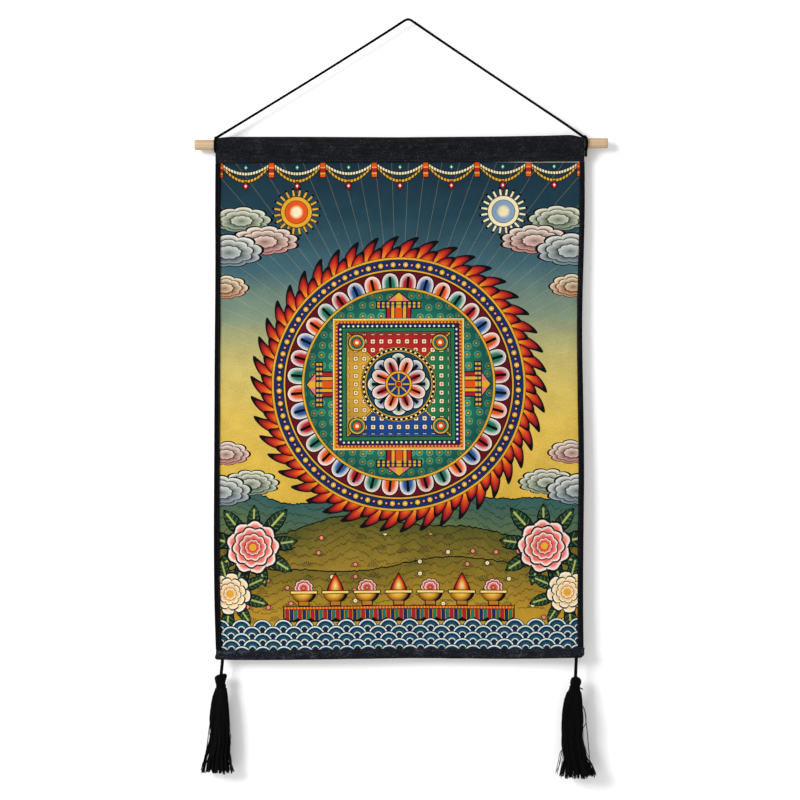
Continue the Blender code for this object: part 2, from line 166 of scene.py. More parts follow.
# the cord's plies swell a little past its nominal size, the tassels' cords more, and twist once in a pitch
FULL = 1.14
TASSEL_CORD_SWELL = 1.28
CORD_PITCH = 0.0070
TIGHT_PITCH = 0.0062
LOOPS = {
    # bow is how far the turn stands out in front, and top_in how far its top leans in.
    # The tail's points are out, y and z
    "left": {
        "side": -1, "x": HEADING_LEFT - LOOP_OFFSET + 0.0007, "bow": 0.0002, "top_in": 0.0003,
        "knot_radius": 0.0015,
        "tail": ((0.0000, 0.0058, -0.0021), (-0.0006, 0.0066, -0.0052), (-0.0016, 0.0056, -0.0085),
                 (-0.0016, 0.0045, -0.0115), (-0.0004, 0.0039, -0.0142)),
    },
    "right": {
        "side": 1, "x": HEADING_RIGHT + LOOP_OFFSET, "bow": 0.0007, "top_in": 0.0009,
        "knot_radius": 0.0015,
        "tail": ((0.0004, -0.0025, -0.0056), (0.0002, -0.0020, -0.0078), (0.0001, -0.0012, -0.0102),
                 (0.0002, -0.0010, -0.0128)),
    },
}

# Tassels, in metres from the neck. Strays are loose threads, as x, y and z points
TASSELS = {
    "left": {
        "hole_x": -0.1686, "neck": (-0.1697, -0.5167), "tip_spread": 0.0040, "top_lean": 0.0007, "seed": 3,
        # side, share of the way down where they come loose, how many
        "loose": ((-1, 0.26, 6), (-1, 0.52, 9), (1, 0.42, 3), (1, 0.60, 8)),
        # up, shift, half_width
        "head": ((0.0000, -0.0002, 0.0047), (0.0018, -0.0004, 0.0043), (0.0032, -0.0005, 0.0043),
                 (0.0050, -0.0008, 0.0046), (0.0072, -0.0009, 0.0051), (0.0095, -0.0006, 0.0057),
                 (0.0112, -0.0002, 0.0058), (0.0126, 0.0001, 0.0042), (0.0119, 0.0000, 0.0010)),
        "tie": (0.0008, 0.0036, 0.0045, 5.4),
        # down, shift, half_width, half_depth
        "skirt": ((0.0000, -0.0002, 0.0047, 0.0042), (0.0044, -0.0007, 0.0062, 0.0050),
                  (0.0082, -0.0012, 0.0070, 0.0056), (0.0120, -0.0014, 0.0076, 0.0060),
                  (0.0215, -0.0014, 0.0088, 0.0066), (0.0310, -0.0014, 0.0098, 0.0070),
                  (0.0500, -0.0009, 0.0100, 0.0076), (0.0595, -0.0028, 0.0109, 0.0082),
                  (0.0690, -0.0040, 0.0123, 0.0088), (0.0815, -0.0040, 0.0150, 0.0096)),
        "strays": (
            ((-0.0079, -0.0020, -0.0245), (-0.0094, -0.0030, -0.0290), (-0.0110, -0.0030, -0.0360),
             (-0.0124, -0.0020, -0.0470), (-0.0143, -0.0020, -0.0600), (-0.0175, -0.0010, -0.0740)),
            ((-0.0062, -0.0040, -0.0250), (-0.0092, -0.0050, -0.0300), (-0.0116, -0.0040, -0.0410),
             (-0.0128, -0.0030, -0.0520), (-0.0160, -0.0020, -0.0680), (-0.0196, -0.0010, -0.0785)),
            ((0.0030, -0.0030, -0.0500), (0.0068, -0.0030, -0.0640), (0.0094, -0.0020, -0.0730),
             (0.0126, -0.0010, -0.0790)),
            ((0.0050, 0.0010, -0.0560), (0.0086, 0.0010, -0.0690), (0.0108, 0.0010, -0.0755),
             (0.0118, 0.0010, -0.0800)),
        ),
    },
    "right": {
        "hole_x": 0.1670, "neck": (0.1657, -0.5200), "tip_spread": 0.0046, "top_lean": 0.0, "seed": 8,
        "loose": ((-1, 0.30, 3), (-1, 0.58, 10), (1, 0.52, 12)),
        "head": ((0.0000, -0.0005, 0.0060), (0.0016, -0.0004, 0.0056), (0.0034, -0.0001, 0.0049),
                 (0.0050, 0.0003, 0.0045), (0.0066, 0.0005, 0.0048), (0.0086, 0.0008, 0.0053),
                 (0.0108, 0.0009, 0.0051), (0.0130, 0.0008, 0.0038), (0.0142, 0.0007, 0.0014)),
        "tie": (0.0026, 0.0054, 0.0048, 4.6),
        "skirt": ((0.0000, -0.0005, 0.0060, 0.0050), (0.0011, -0.0008, 0.0063, 0.0054),
                  (0.0049, -0.0015, 0.0083, 0.0062), (0.0087, -0.0015, 0.0084, 0.0066),
                  (0.0182, -0.0021, 0.0095, 0.0070), (0.0277, -0.0021, 0.0104, 0.0072),
                  (0.0467, -0.0026, 0.0108, 0.0078), (0.0562, -0.0009, 0.0114, 0.0084),
                  (0.0657, 0.0001, 0.0106, 0.0092), (0.0740, 0.0030, 0.0159, 0.0100),
                  (0.0822, 0.0024, 0.0172, 0.0106)),
        "strays": (
            # the long loop off the right side, and the thread's loose end at the neck
            ((0.0060, -0.0040, -0.0120), (0.0079, -0.0050, -0.0144), (0.0094, -0.0055, -0.0208),
             (0.0102, -0.0050, -0.0283), (0.0115, -0.0045, -0.0389), (0.0127, -0.0040, -0.0535),
             (0.0138, -0.0030, -0.0620)),
            ((0.0060, -0.0040, -0.0125), (0.0082, -0.0050, -0.0150), (0.0099, -0.0060, -0.0220),
             (0.0100, -0.0060, -0.0280), (0.0088, -0.0055, -0.0312), (0.0070, -0.0050, -0.0345)),
            ((0.0030, -0.0020, 0.0046), (0.0048, -0.0034, 0.0043), (0.0060, -0.0038, 0.0037),
             (0.0073, -0.0038, 0.0031)),
            ((0.0032, -0.0024, 0.0040), (0.0050, -0.0036, 0.0037), (0.0062, -0.0040, 0.0031),
             (0.0074, -0.0040, 0.0025)),
            ((0.0034, -0.0026, 0.0043), (0.0050, -0.0040, 0.0040), (0.0061, -0.0044, 0.0034),
             (0.0070, -0.0044, 0.0028)),
            ((-0.0080, -0.0010, -0.0500), (-0.0138, -0.0010, -0.0570), (-0.0158, -0.0010, -0.0660),
             (-0.0184, -0.0010, -0.0780)),
            ((-0.0080, 0.0020, -0.0520), (-0.0126, 0.0020, -0.0600), (-0.0150, 0.0010, -0.0700),
             (-0.0166, 0.0010, -0.0790)),
            ((-0.0080, 0.0000, -0.0480), (-0.0126, 0.0000, -0.0560), (-0.0140, 0.0000, -0.0670),
             (-0.0174, 0.0000, -0.0760)),
            ((-0.0080, -0.0030, -0.0500), (-0.0118, -0.0030, -0.0600), (-0.0128, -0.0030, -0.0690),
             (-0.0152, -0.0030, -0.0800)),
            ((0.0060, -0.0030, -0.0500), (0.0124, -0.0030, -0.0600), (0.0152, -0.0030, -0.0680),
             (0.0186, -0.0030, -0.0760)),
        ),
    },
}
HEAD_DEPTH_SHARE = 0.92
STRANDS = 760
STRAND_STEPS = 11
STRAND_RADIUS = 0.00031
HEAD_THREADS = 44
HEAD_STEPS = 16
LOCKS = 60
GATHERED = 0.68
DRAWN_IN = 0.12
LOCK_LEAN = 0.06
SPLAY = 0.13
GOLDEN_ANGLE = math.pi * (3 - math.sqrt(5))


# Shaders

class Wire:
    """A shader value that can be used in sums."""

    def __init__(self, bench, socket):
        self.bench = bench
        self.socket = socket

    def __add__(self, other):
        return self.bench.math("ADD", self, other)

    def __sub__(self, other):
        return self.bench.math("SUBTRACT", self, other)

    def __rsub__(self, other):
        return self.bench.math("SUBTRACT", other, self)

    def __mul__(self, other):
        return self.bench.math("MULTIPLY", self, other)

    def __truediv__(self, other):
        return self.bench.math("DIVIDE", self, other)

    def __pow__(self, other):
        return self.bench.math("POWER", self, other)

    def __lt__(self, other):
        return self.bench.math("LESS_THAN", self, other)

    def __gt__(self, other):
        return self.bench.math("GREATER_THAN", self, other)

    def __abs__(self):
        return self.bench.math("ABSOLUTE", self)

    __radd__ = __add__
    __rmul__ = __mul__


def tint(red, green, blue):
    """A colour from its 0 to 255 display values."""
    shares = (value / 255 for value in (red, green, blue))
    linear = [s / 12.92 if s <= 0.04045 else ((s + 0.055) / 1.055) ** 2.4 for s in shares]
    return (*linear, 1.0)


class Bench:
    """A node tree and the ways to add to it."""

    def __init__(self, tree):
        self.tree = tree

    def plug(self, socket, value):
        if isinstance(value, Wire):
            self.tree.links.new(value.socket, socket)
        else:
            socket.default_value = value

    def node(self, kind, settings, inputs, output=0):
        made = self.tree.nodes.new(kind)
        for setting, value in settings.items():
            setattr(made, setting, value)
        for socket, value in inputs.items():
            self.plug(made.inputs[socket], value)
        return Wire(self, made.outputs[output])

    def math(self, operation, *values):
        return self.node("ShaderNodeMath", {"operation": operation}, dict(enumerate(values)))

    def floor(self, value):
        return self.math("FLOOR", value)

    def fraction(self, value):
        return self.math("FRACT", value)

    def sine(self, value):
        return self.math("SINE", value)

    def least(self, *values):
        return self.math("MINIMUM", *values)

    def most(self, *values):
        return self.math("MAXIMUM", *values)

    def root(self, value):
        return self.math("SQRT", value)

    def length(self, x, y):
        return self.root(x * x + y * y)

    def turns(self, x, y):
        """The angle round the origin, in turns from -0.5 to 0.5."""
        return self.math("ARCTAN2", y, x) / math.tau

    def blended(self, how, share, below, above):
        settings = {"data_type": "RGBA", "blend_type": how, "clamp_factor": True}
        return self.node("ShaderNodeMix", settings, {0: share, 6: below, 7: above}, 2)

    def mix(self, share, below, above):
        return self.blended("MIX", share, below, above)

    def spread(self, value, low, high, start=0.0, end=1.0):
        """The value's place between low and high, from start to end and held there."""
        free = self.node("ShaderNodeMapRange", {"clamp": False}, {0: value, 1: low, 2: high, 3: start, 4: end})
        return self.node("ShaderNodeClamp", {}, {0: free, 1: min(start, end), 2: max(start, end)})

    def ramp(self, value, stops, stepped=False):
        made = self.tree.nodes.new("ShaderNodeValToRGB")
        made.color_ramp.interpolation = "CONSTANT" if stepped else "LINEAR"
        elements = made.color_ramp.elements
        elements.remove(elements[1])
        for order, (place, colour) in enumerate(stops):
            element = elements.new(place) if order else elements[0]
            element.color = colour if len(colour) == 4 else tint(*colour)
        elements[0].position = stops[0][0]
        self.plug(made.inputs[0], value)
        return Wire(self, made.outputs[0])

    def place(self, uv_map=None):
        """Where a point is: on the object, or on the named map."""
        if uv_map:
            return self.node("ShaderNodeUVMap", {"uv_map": uv_map}, {})
        return self.node("ShaderNodeTexCoord", {}, {}, "Object")

    def split(self, vector):
        return [self.node("ShaderNodeSeparateXYZ", {}, {0: vector}, i) for i in range(3)]

    def join(self, x, y):
        return self.node("ShaderNodeCombineXYZ", {}, {0: x, 1: y})

    def scaled(self, vector, x, y, z):
        """The place, with each way stretched by its own number."""
        return self.node("ShaderNodeMapping", {}, {"Vector": vector, "Scale": (x, y, z)})

    def noise(self, vector, scale, detail=2.0, roughness=0.5):
        inputs = {"Vector": vector, "Scale": scale, "Detail": detail, "Roughness": roughness}
        return self.node("ShaderNodeTexNoise", {}, inputs)

    def flat_cells(self, vector, randomness):
        """How far a point is from the nearest of the seeds scattered over a flat map."""
        inputs = {"Vector": vector, "Scale": 1.0, "Randomness": randomness}
        return self.node("ShaderNodeTexVoronoi", {"voronoi_dimensions": "2D"}, inputs)


class Finish(Bench):
    """A material that is built up from nodes."""

    def __init__(self, name, roughness, gloss=0.5):
        self.material = bpy.data.materials.new(name)
        self.material.use_nodes = True
        super().__init__(self.material.node_tree)
        self.shader = self.tree.nodes["Principled BSDF"]
        self.shader.inputs["Roughness"].default_value = roughness
        self.shader.inputs["Specular IOR Level"].default_value = gloss

    def feed(self, socket, value):
        self.plug(self.shader.inputs[socket], value)

    def bump(self, height, distance, strength=1.0):
        inputs = {"Height": height, "Distance": distance, "Strength": strength}
        self.feed("Normal", self.node("ShaderNodeBump", {}, inputs))


def grey(value):
    return (value, value, value, 1.0)


# The printed design, in millimetres from the middle of the print

PRINT_WIDTH = 341.0
PRINT_HEIGHT = 463.0
WEAVE_PITCH = 0.55
INK = (9, 8, 12)
GOLD = (226, 168, 48)
CREAM = (244, 228, 184)
CRIMSON = (176, 30, 42)
ORANGE = (222, 84, 24)
TEAL = (30, 118, 98)
NAVY = (20, 44, 98)
BLUE = (40, 88, 152)
ROSE = (228, 120, 116)
WHITE = (250, 244, 232)


class Picture:
    """The print as it is painted, one motif over another, each in a node group of its own."""

    def __init__(self, bench, x, y, paint=None):
        self.bench = bench
        self.x = x
        self.y = y
        self.paint = paint

    def lay(self, mask, colour):
        """Paints the colour where the mask is one."""
        if not isinstance(colour, Wire):
            colour = tint(*colour)
        self.paint = self.bench.mix(mask, self.paint, colour)

    def from_point(self, x, y, mirrored=False):
        across = abs(self.x) if mirrored else self.x
        return across - x, self.y - y

    def spot(self, across, up):
        """Where a point is on the print, with so many units to the metre each way."""
        return self.bench.scaled(self.bench.place("Print"), across, up, 1.0)

    def add(self, motif, *facts):
        """Paints a motif in a node group, which keeps the tree quick to build."""
        tree = bpy.data.node_groups.new(motif.__name__, "ShaderNodeTree")
        for name, kind in (("X", "Float"), ("Y", "Float"), ("Paint", "Color")):
            tree.interface.new_socket(name, in_out="INPUT", socket_type="NodeSocket" + kind)
        tree.interface.new_socket("Paint", in_out="OUTPUT", socket_type="NodeSocketColor")
        bench = Bench(tree)
        given = tree.nodes.new("NodeGroupInput").outputs
        picture = Picture(bench, *(Wire(bench, given[i]) for i in range(3)))
        motif(picture, *facts)
        tree.links.new(picture.paint.socket, tree.nodes.new("NodeGroupOutput").inputs[0])
        inputs = {0: self.x, 1: self.y}
        if self.paint:
            inputs[2] = self.paint
        self.paint = self.bench.node("ShaderNodeGroup", {"node_tree": tree}, inputs)


def lay_sky(picture):
    """Colours that run from gold at the foot to a deep blue at the top, with a slow drift."""
    f = picture.bench
    drift = f.noise(picture.spot(4.0, 30.0), 1.0, 3.0) - 0.5
    height = (picture.y + drift * 26) / PRINT_HEIGHT + 0.5
    picture.paint = f.ramp(height, (
        (0.00, (188, 146, 40)),
        (0.16, (186, 148, 46)),
        (0.28, (214, 172, 62)),
        (0.46, (222, 188, 84)),
        (0.58, (204, 186, 108)),
        (0.68, (132, 150, 124)),
        (0.78, (66, 102, 112)),
        (0.88, (34, 66, 80)),
        (1.00, (24, 46, 60)),
    ))


def lay_rays(picture, centre_y):
    """Thin pale rays that spread over the sky from behind the mandala."""
    f = picture.bench
    x, y = picture.from_point(0.0, centre_y)
    around = f.fraction(f.turns(x, y) * 84)
    far = f.length(x, y)
    picture.lay((abs(around - 0.5) * far < 1.6) * 0.26, (248, 226, 150))


def lay_swags(picture):
    """Strings of jewels that hang in curves from the top edge."""
    f = picture.bench
    pitch = 48.7
    across = f.fraction(picture.x / pitch + 0.5) - 0.5
    drop = PRINT_HEIGHT / 2 - picture.y
    for depth, colour, bead in ((17.0, GOLD, 3.0), (10.0, CREAM, 2.6)):
        sag = depth * (1 - 4 * across * across)
        line = abs(drop - sag - 1.0)
        picture.lay(line < 1.9, INK)
        beads = f.fraction(across * (pitch / bead) + 0.5) - 0.5
        picture.lay((line < 1.2) * (abs(beads) < 0.36), colour)
    for middle, size, colour in ((22.5, 1.0, CRIMSON), (5.0, 0.8, TEAL)):
        low = (drop - middle) / (5.0 * size)
        jewel = abs(across) * (pitch / (3.8 * size)) + abs(low)
        picture.lay(jewel < 1.0, INK)
        picture.lay(jewel < 0.74, colour)
        picture.lay(jewel < 0.30, WHITE)
    tuft = abs(abs(across) - 0.5) * pitch
    picture.lay((tuft < 3.2) * (drop < 15.0), INK)
    picture.lay((tuft < 2.4) * (drop < 14.2), f.ramp(drop / 15.0, (
        (0.0, ORANGE), (0.30, GOLD), (0.38, CRIMSON), (0.60, CRIMSON), (0.66, GOLD), (0.76, ORANGE),
    ), stepped=True))


def lay_disc(picture, x, y, radius, inner, outer, lines):
    """A sun or a moon, with a thin ring round it and short rays."""
    f = picture.bench
    dx, dy = picture.from_point(x, y)
    far = f.length(dx, dy) / radius
    ray = abs(f.fraction(f.turns(dx, dy) * lines) - 0.5)
    picture.lay((far < 1.78) * (ray + far * 0.16 < 0.44), INK)
    picture.lay((far < 1.62) * (ray + far * 0.16 < 0.38), outer)
    picture.lay(far < 1.18, INK)
    picture.lay(far < 1.12, f.ramp(far, (
        (0.0, CREAM), (0.30, CREAM), (0.52, inner), (0.80, inner), (0.84, INK), (0.88, outer), (1.0, outer),
    )))


def lay_cloud(picture, x, y, width, height, lobes, start, deep, pale):
    """A puff of cloud with a lobed edge and lobed lines inside it, on both sides."""
    f = picture.bench
    dx, dy = picture.from_point(x, y, mirrored=True)
    u = dx / width
    v = dy / height
    around = f.turns(u, v)
    lobe = abs(f.sine(around * (math.pi * lobes) + start))
    far = f.length(u, v) / (0.82 + 0.18 * f.root(lobe))
    # the foot of the cloud is flatter than its top
    far = far * (1 + 0.55 * (v < -0.35) * (abs(v) - 0.35))
    shade = f.spread(v, -0.8, 0.7)
    body = f.ramp(far, (
        (0.00, (120, 120, 120)), (0.26, (215, 215, 215)), (0.33, (250, 250, 250)), (0.36, INK),
        (0.40, (120, 120, 120)), (0.60, (205, 205, 205)), (0.66, (250, 250, 250)), (0.69, INK),
        (0.73, (140, 140, 140)), (0.88, (240, 240, 240)),
    ))
    # each lobed band runs from a deep colour to a pale one
    ink = f.ramp(far, (
        (0.0, WHITE), (0.345, INK), (0.375, WHITE), (0.675, INK), (0.71, WHITE), (0.92, INK),
    ), stepped=True)
    tone = f.blended("MULTIPLY", 1.0, f.mix(shade, tint(*deep), tint(*pale)), body)
    light = f.blended("SCREEN", 0.75, tone, f.blended("MULTIPLY", 1.0, body, f.mix(shade, grey(0.2), grey(0.9))))
    picture.lay(far < 1.0, f.blended("MULTIPLY", 1.0, light, ink))


def lay_hill(picture, level, rise, pitch, start, top, foot):
    """Ground under a wavy crest, with brush strokes that follow it."""
    f = picture.bench
    crest = level + rise * f.sine(picture.x / pitch + start)
    crest = crest + 0.4 * rise * f.sine(picture.x / pitch * 2.3 - start)
    rough = f.noise(picture.spot(220.0, 50.0), 1.0, 2.0)
    crest = crest + (rough - 0.5) * 5
    depth = crest - picture.y
    picture.lay(depth > -0.8, INK)
    stroke = f.fraction(depth / 8.0 + 0.5 * f.sine(picture.x / 9.0) + rough)
    shade = f.spread(depth + rough * 12, 0.0, 58.0)
    picture.lay(depth > 0.4, f.mix(shade, tint(*top), tint(*foot)))
    picture.lay((depth > 2.0) * (depth < 44.0) * (stroke < 0.15) * 0.5, INK)


def lay_waves(picture, level, radius, rows):
    """Rows of round waves with white crests, each row in front of the last."""
    f = picture.bench
    for row in range(rows):
        middle = level - row * radius * 0.62
        cell = f.fraction(picture.x / (2 * radius) + 0.5 * (row % 2)) - 0.5
        dx = cell * (2 * radius)
        dy = picture.y - middle
        far = f.length(dx, dy) / radius
        under = f.most(far < 1.0, dy < 0.0)
        picture.lay(under, f.ramp(far, (
            (0.00, (14, 40, 72)), (0.26, (216, 226, 214)), (0.36, INK), (0.42, (24, 84, 104)), (0.60, INK),
            (0.64, (18, 54, 96)), (0.80, (228, 234, 222)), (0.92, INK),
        ), stepped=True))


def lay_leaves(picture, x, y, reach, count, start):
    """Pointed leaves with a pale rib that stand round a flower, on both sides."""
    f = picture.bench
    dx, dy = picture.from_point(x, y, mirrored=True)
    far = f.length(dx, dy) / reach
    turn = f.turns(dx, dy) * count + start
    order = f.fraction(f.floor(turn) * 0.381)
    far = far * (0.86 + 0.3 * order)
    leaf = abs(f.fraction(turn) - 0.5) * 2
    notch = 0.06 * abs(f.sine(far * 26))
    width = f.sine(f.least(far, 1.0) * math.pi) * (0.80 - notch) + 0.02
    inside = leaf / width
    picture.lay((inside < 1.0) * (far < 1.0), INK)
    picture.lay(
        (inside < 0.80) * (far < 0.95),
        f.mix(f.spread(far, 0.35, 1.0), tint(10, 28, 26), tint(30, 66, 44)),
    )
    picture.lay(
        (inside < 0.80) * (far < 0.90) * (abs(f.fraction(far * 9 - leaf * 1.6) - 0.5) < 0.10) * 0.7,
        (92, 124, 70),
    )
    picture.lay((leaf * far < 0.06) * (far < 0.90), (176, 178, 96))


def lay_flower(picture, x, y, radius, petals, start, heart, mid, rim):
    """A many-petalled flower in rounds of petals, on both sides."""
    f = picture.bench
    dx, dy = picture.from_point(x, y, mirrored=True)
    far = f.length(dx, dy) / radius
    around = f.turns(dx, dy)
    for size, shift in ((1.0, 0.0), (0.76, 0.5), (0.52, 0.0), (0.30, 0.5)):
        lobe = abs(f.sine(around * (math.pi * petals) + start + shift * math.pi))
        inside = far / (size * (0.78 + 0.22 * f.root(lobe)))
        inside = inside + 0.05 * f.sine(around * (math.tau * petals * 2)) * (1 - lobe)
        picture.lay(inside < 1.0, f.ramp(inside, (
            (0.00, heart), (0.50, mid), (0.78, rim), (0.90, WHITE), (0.93, INK), (1.00, INK),
        )))
    picture.lay(far < 0.13, GOLD)


def lay_petals(picture, far, around, inner, outer, count, colours, start=0.0, sharp=3.0):
    """A ring of petals that point outwards, in colours that follow each other."""
    f = picture.bench
    turn = around * count + start
    across = abs(f.fraction(turn) - 0.5) * 2
    along = (far - inner) / (outer - inner)
    edge = across * across + f.most(along, 0.0) ** sharp
    order = f.fraction((f.floor(turn) + 0.5) / len(colours))
    steps = [(i / len(colours), colour) for i, colour in enumerate(colours)]
    body = f.ramp(order, steps, stepped=True)
    white = f.spread(edge, 0.20, 0.86, 0.0, 0.95)
    shown = (along > 0.0) * (along < 1.0)
    picture.lay(shown * (edge < 1.0), INK)
    picture.lay(shown * (edge < 0.84), f.mix(white, body, tint(*WHITE)))
    picture.lay(shown * (edge < 0.40) * (across < 0.16), INK)


def lay_beads(picture, far, around, middle, count, radius, colour):
    """A ring of round beads, each with an ink rim and a pale spark."""
    f = picture.bench
    dx = (f.fraction(around * count) - 0.5) * (math.tau * middle / count)
    dy = far - middle
    out = f.length(dx, dy)
    picture.lay(out < radius + 0.7, INK)
    picture.lay(out < radius, colour)
    picture.lay(out < radius * 0.35, CREAM)


def lay_flames(picture, far, around, inner, outer, count):
    """A ring of leaning flames, and short ones in front of them."""
    f = picture.bench
    for high, start, lean in ((1.0, 0.0, 0.9), (0.62, 0.5, 0.5)):
        along = (far - inner) / ((outer - inner) * high)
        turn = around * count + start + lean * along * along
        across = abs(f.fraction(turn) - 0.5) * 2
        edge = along + across * across * (1.05 - 0.45 * along)
        shown = (along > 0.0) * (edge < 1.0)
        picture.lay(shown, f.ramp(edge, (
            (0.00, (246, 204, 84)), (0.26, (238, 150, 40)), (0.48, (222, 84, 24)), (0.70, (178, 34, 30)),
            (0.82, (120, 18, 28)), (0.86, INK), (1.00, INK),
        )))


def lay_bands(picture, far, edge, bands):
    """Plain rings from the edge inwards. Each band is its inner limit and its colour."""
    stops = sorted((inner / edge, colour) for inner, colour in bands)
    picture.lay(far < edge, picture.bench.ramp(far / edge, stops, stepped=True))


def lay_palace(picture):
    """A square palace of coloured walls with a gate in each side."""
    f = picture.bench
    a = abs(picture.x)
    b = abs(picture.y)
    out = f.most(a, b)
    side = f.least(a, b)
    # each gate is a stem, a roof wider than it, and a stepped crown
    stem = (out < 75.0) * (side < 12.0)
    roof = (out > 69.6) * (out < 76.9) * (side < 21.0)
    crown = (out > 75.0) * ((out - 75.0) * 1.3 + side < 14.0)
    picture.lay(f.most(f.most(stem, roof), crown), INK)
    stem = (out < 75.0) * (side < 10.8)
    roof = (out > 70.6) * (out < 75.9) * (side < 19.9)
    crown = (out > 76.8) * ((out - 75.0) * 1.3 + side < 12.4)
    picture.lay(stem, f.ramp(side / 11.0, (
        (0.0, ORANGE), (0.28, INK), (0.36, GOLD), (0.62, INK), (0.70, CRIMSON), (1.0, CRIMSON),
    ), stepped=True))
    picture.lay(roof, f.mix(f.fraction(side / 4.4) > 0.5, tint(*GOLD), tint(*NAVY)))
    picture.lay(roof * (out > 72.9) * (out < 73.6), INK)
    picture.lay(crown, ROSE)
    picture.lay(crown * (side < 3.0), GOLD)
    lay_bands(picture, out, 61.0, (
        (0.0, CREAM), (47.6, INK), (48.6, (36, 112, 72)), (51.6, INK), (52.2, NAVY), (55.2, INK),
        (55.9, CRIMSON), (58.2, GOLD), (59.7, CREAM), (60.4, INK),
    ))
    studs = f.length(f.fraction(side / 4.4) - 0.5, (out - 53.65) / 4.4)
    picture.lay((studs < 0.22) * (out < 61.0), CREAM)
    studs = f.length(f.fraction(side / 3.2) - 0.5, (out - 57.2) / 3.2)
    picture.lay((studs < 0.26) * (out < 61.0), GOLD)


def lay_court(picture):
    """The palace's floor in four colours, with small flowers on it and a jewel in each corner."""
    f = picture.bench
    x, y = picture.x, picture.y
    a = abs(x)
    b = abs(y)
    out = f.most(a, b)
    quarter = f.fraction(f.turns(x, y) + 0.125)
    court = f.ramp(quarter, (
        (0.0, (36, 120, 76)), (0.25, (184, 38, 36)), (0.50, (222, 168, 54)), (0.75, (30, 74, 140)),
    ), stepped=True)
    shade = f.spread(f.length(x, y), 36.0, 66.0, 0.0, 0.55)
    picture.lay(out < 47.6, f.mix(shade, court, tint(20, 18, 34)))
    picture.lay((out < 47.6) * (abs(a - b) < 1.5), INK)
    picture.lay((out < 47.6) * (abs(a - b) < 0.8), GOLD)
    u = f.fraction(x / 7.9 + 0.5) - 0.5
    v = f.fraction(y / 7.9 + 0.5) - 0.5
    sprig = f.length(u, v) / (0.7 + 0.3 * abs(f.sine(f.turns(u, v) * (4 * math.pi))))
    picture.lay((out < 46.0) * (sprig < 0.36), INK)
    picture.lay((out < 46.0) * (sprig < 0.29), CREAM)
    picture.lay((out < 46.0) * (sprig < 0.12), CRIMSON)
    corner = f.length(a - 38.5, b - 38.5)
    picture.lay(corner < 8.2, f.ramp(corner / 8.2, (
        (0.0, CREAM), (0.20, ORANGE), (0.46, INK), (0.54, TEAL), (0.74, GOLD), (0.88, INK),
    ), stepped=True))


def lay_rings(picture):
    """The mandala's flames, beads and petals round a green field."""
    f = picture.bench
    x, y = picture.x, picture.y
    far = f.length(x, y)
    around = f.turns(x, y)
    lay_flames(picture, far, around, 112.0, 137.0, 46)
    lay_bands(picture, far, 117.5, (
        (0.0, (34, 112, 92)), (86.5, INK), (87.2, GOLD), (89.0, INK), (89.6, (96, 16, 30)), (103.6, INK),
        (104.2, GOLD), (105.8, INK), (106.4, NAVY), (114.4, INK), (115.0, GOLD), (116.8, INK),
    ))
    lay_petals(picture, far, around, 89.6, 103.4, 36, (CRIMSON, TEAL, ORANGE, BLUE))
    lay_beads(picture, far, around, 110.4, 60, 2.3, GOLD)
    lay_beads(picture, far, around + 1 / 120, 110.4, 60, 1.1, ROSE)
    scroll = f.flat_cells(picture.spot(108.0, 108.0), 0.35)
    field = far < 86.5
    picture.lay(field * (abs(scroll - 0.30) < 0.075), (80, 164, 128))
    picture.lay(field * (scroll < 0.17), INK)
    picture.lay(field * (scroll < 0.13), GOLD)
    picture.lay(field * f.spread(far, 66.0, 86.5, 0.0, 0.6), (10, 38, 48))


def lay_lotus(picture):
    """The lotus in the middle, with a wheel at its heart."""
    f = picture.bench
    far = f.length(picture.x, picture.y)
    around = f.turns(picture.x, picture.y)
    lay_bands(picture, far, 35.0, (
        (0.0, (150, 26, 40)), (15.5, INK), (16.2, (20, 70, 84)), (29.6, INK), (30.2, GOLD), (31.2, INK),
        (33.8, GOLD), (34.4, INK),
    ))
    lay_petals(picture, far, around, 12.0, 29.4, 8, (TEAL, BLUE), 0.5)
    lay_petals(picture, far, around, 10.0, 27.0, 8, (CRIMSON, ORANGE), 0.0, 2.4)
    lay_beads(picture, far, around, 32.5, 44, 1.0, CREAM)
    lay_bands(picture, far, 12.6, ((0.0, (28, 50, 116)), (9.6, INK), (10.2, GOLD), (12.0, INK)))
    spoke = abs(f.fraction(around * 8 + 0.5) - 0.5) * far
    picture.lay((far < 9.8) * (spoke < 0.85), GOLD)
    lay_bands(picture, far, 3.8, ((0.0, CRIMSON), (1.9, INK), (2.4, GOLD), (3.2, INK)))


def lay_ledge(picture, base):
    """A ledge under a striped cloth."""
    f = picture.bench
    y = picture.y - base
    a = abs(picture.x)
    picture.lay((y < 0.0) * (y > -15.0) * (a < 110.0), INK)
    cloth = f.ramp(f.fraction(picture.x / 12.0), (
        (0.0, CRIMSON), (0.28, INK), (0.32, GOLD), (0.36, INK), (0.40, NAVY), (0.62, INK), (0.66, GOLD),
        (0.70, INK), (0.74, TEAL), (0.94, INK), (0.97, GOLD),
    ), stepped=True)
    hung_low = 11.0 + 2.6 * abs(f.sine(picture.x * (math.pi / 12.0)))
    picture.lay((y < -3.6) * (y + hung_low > 0.0) * (a < 109.0), cloth)
    picture.lay((y < -0.8) * (y > -2.9) * (a < 109.0), ORANGE)
    picture.lay((y < -0.8) * (y > -2.9) * (a < 109.0) * (f.fraction(picture.x / 3.0) < 0.3), GOLD)


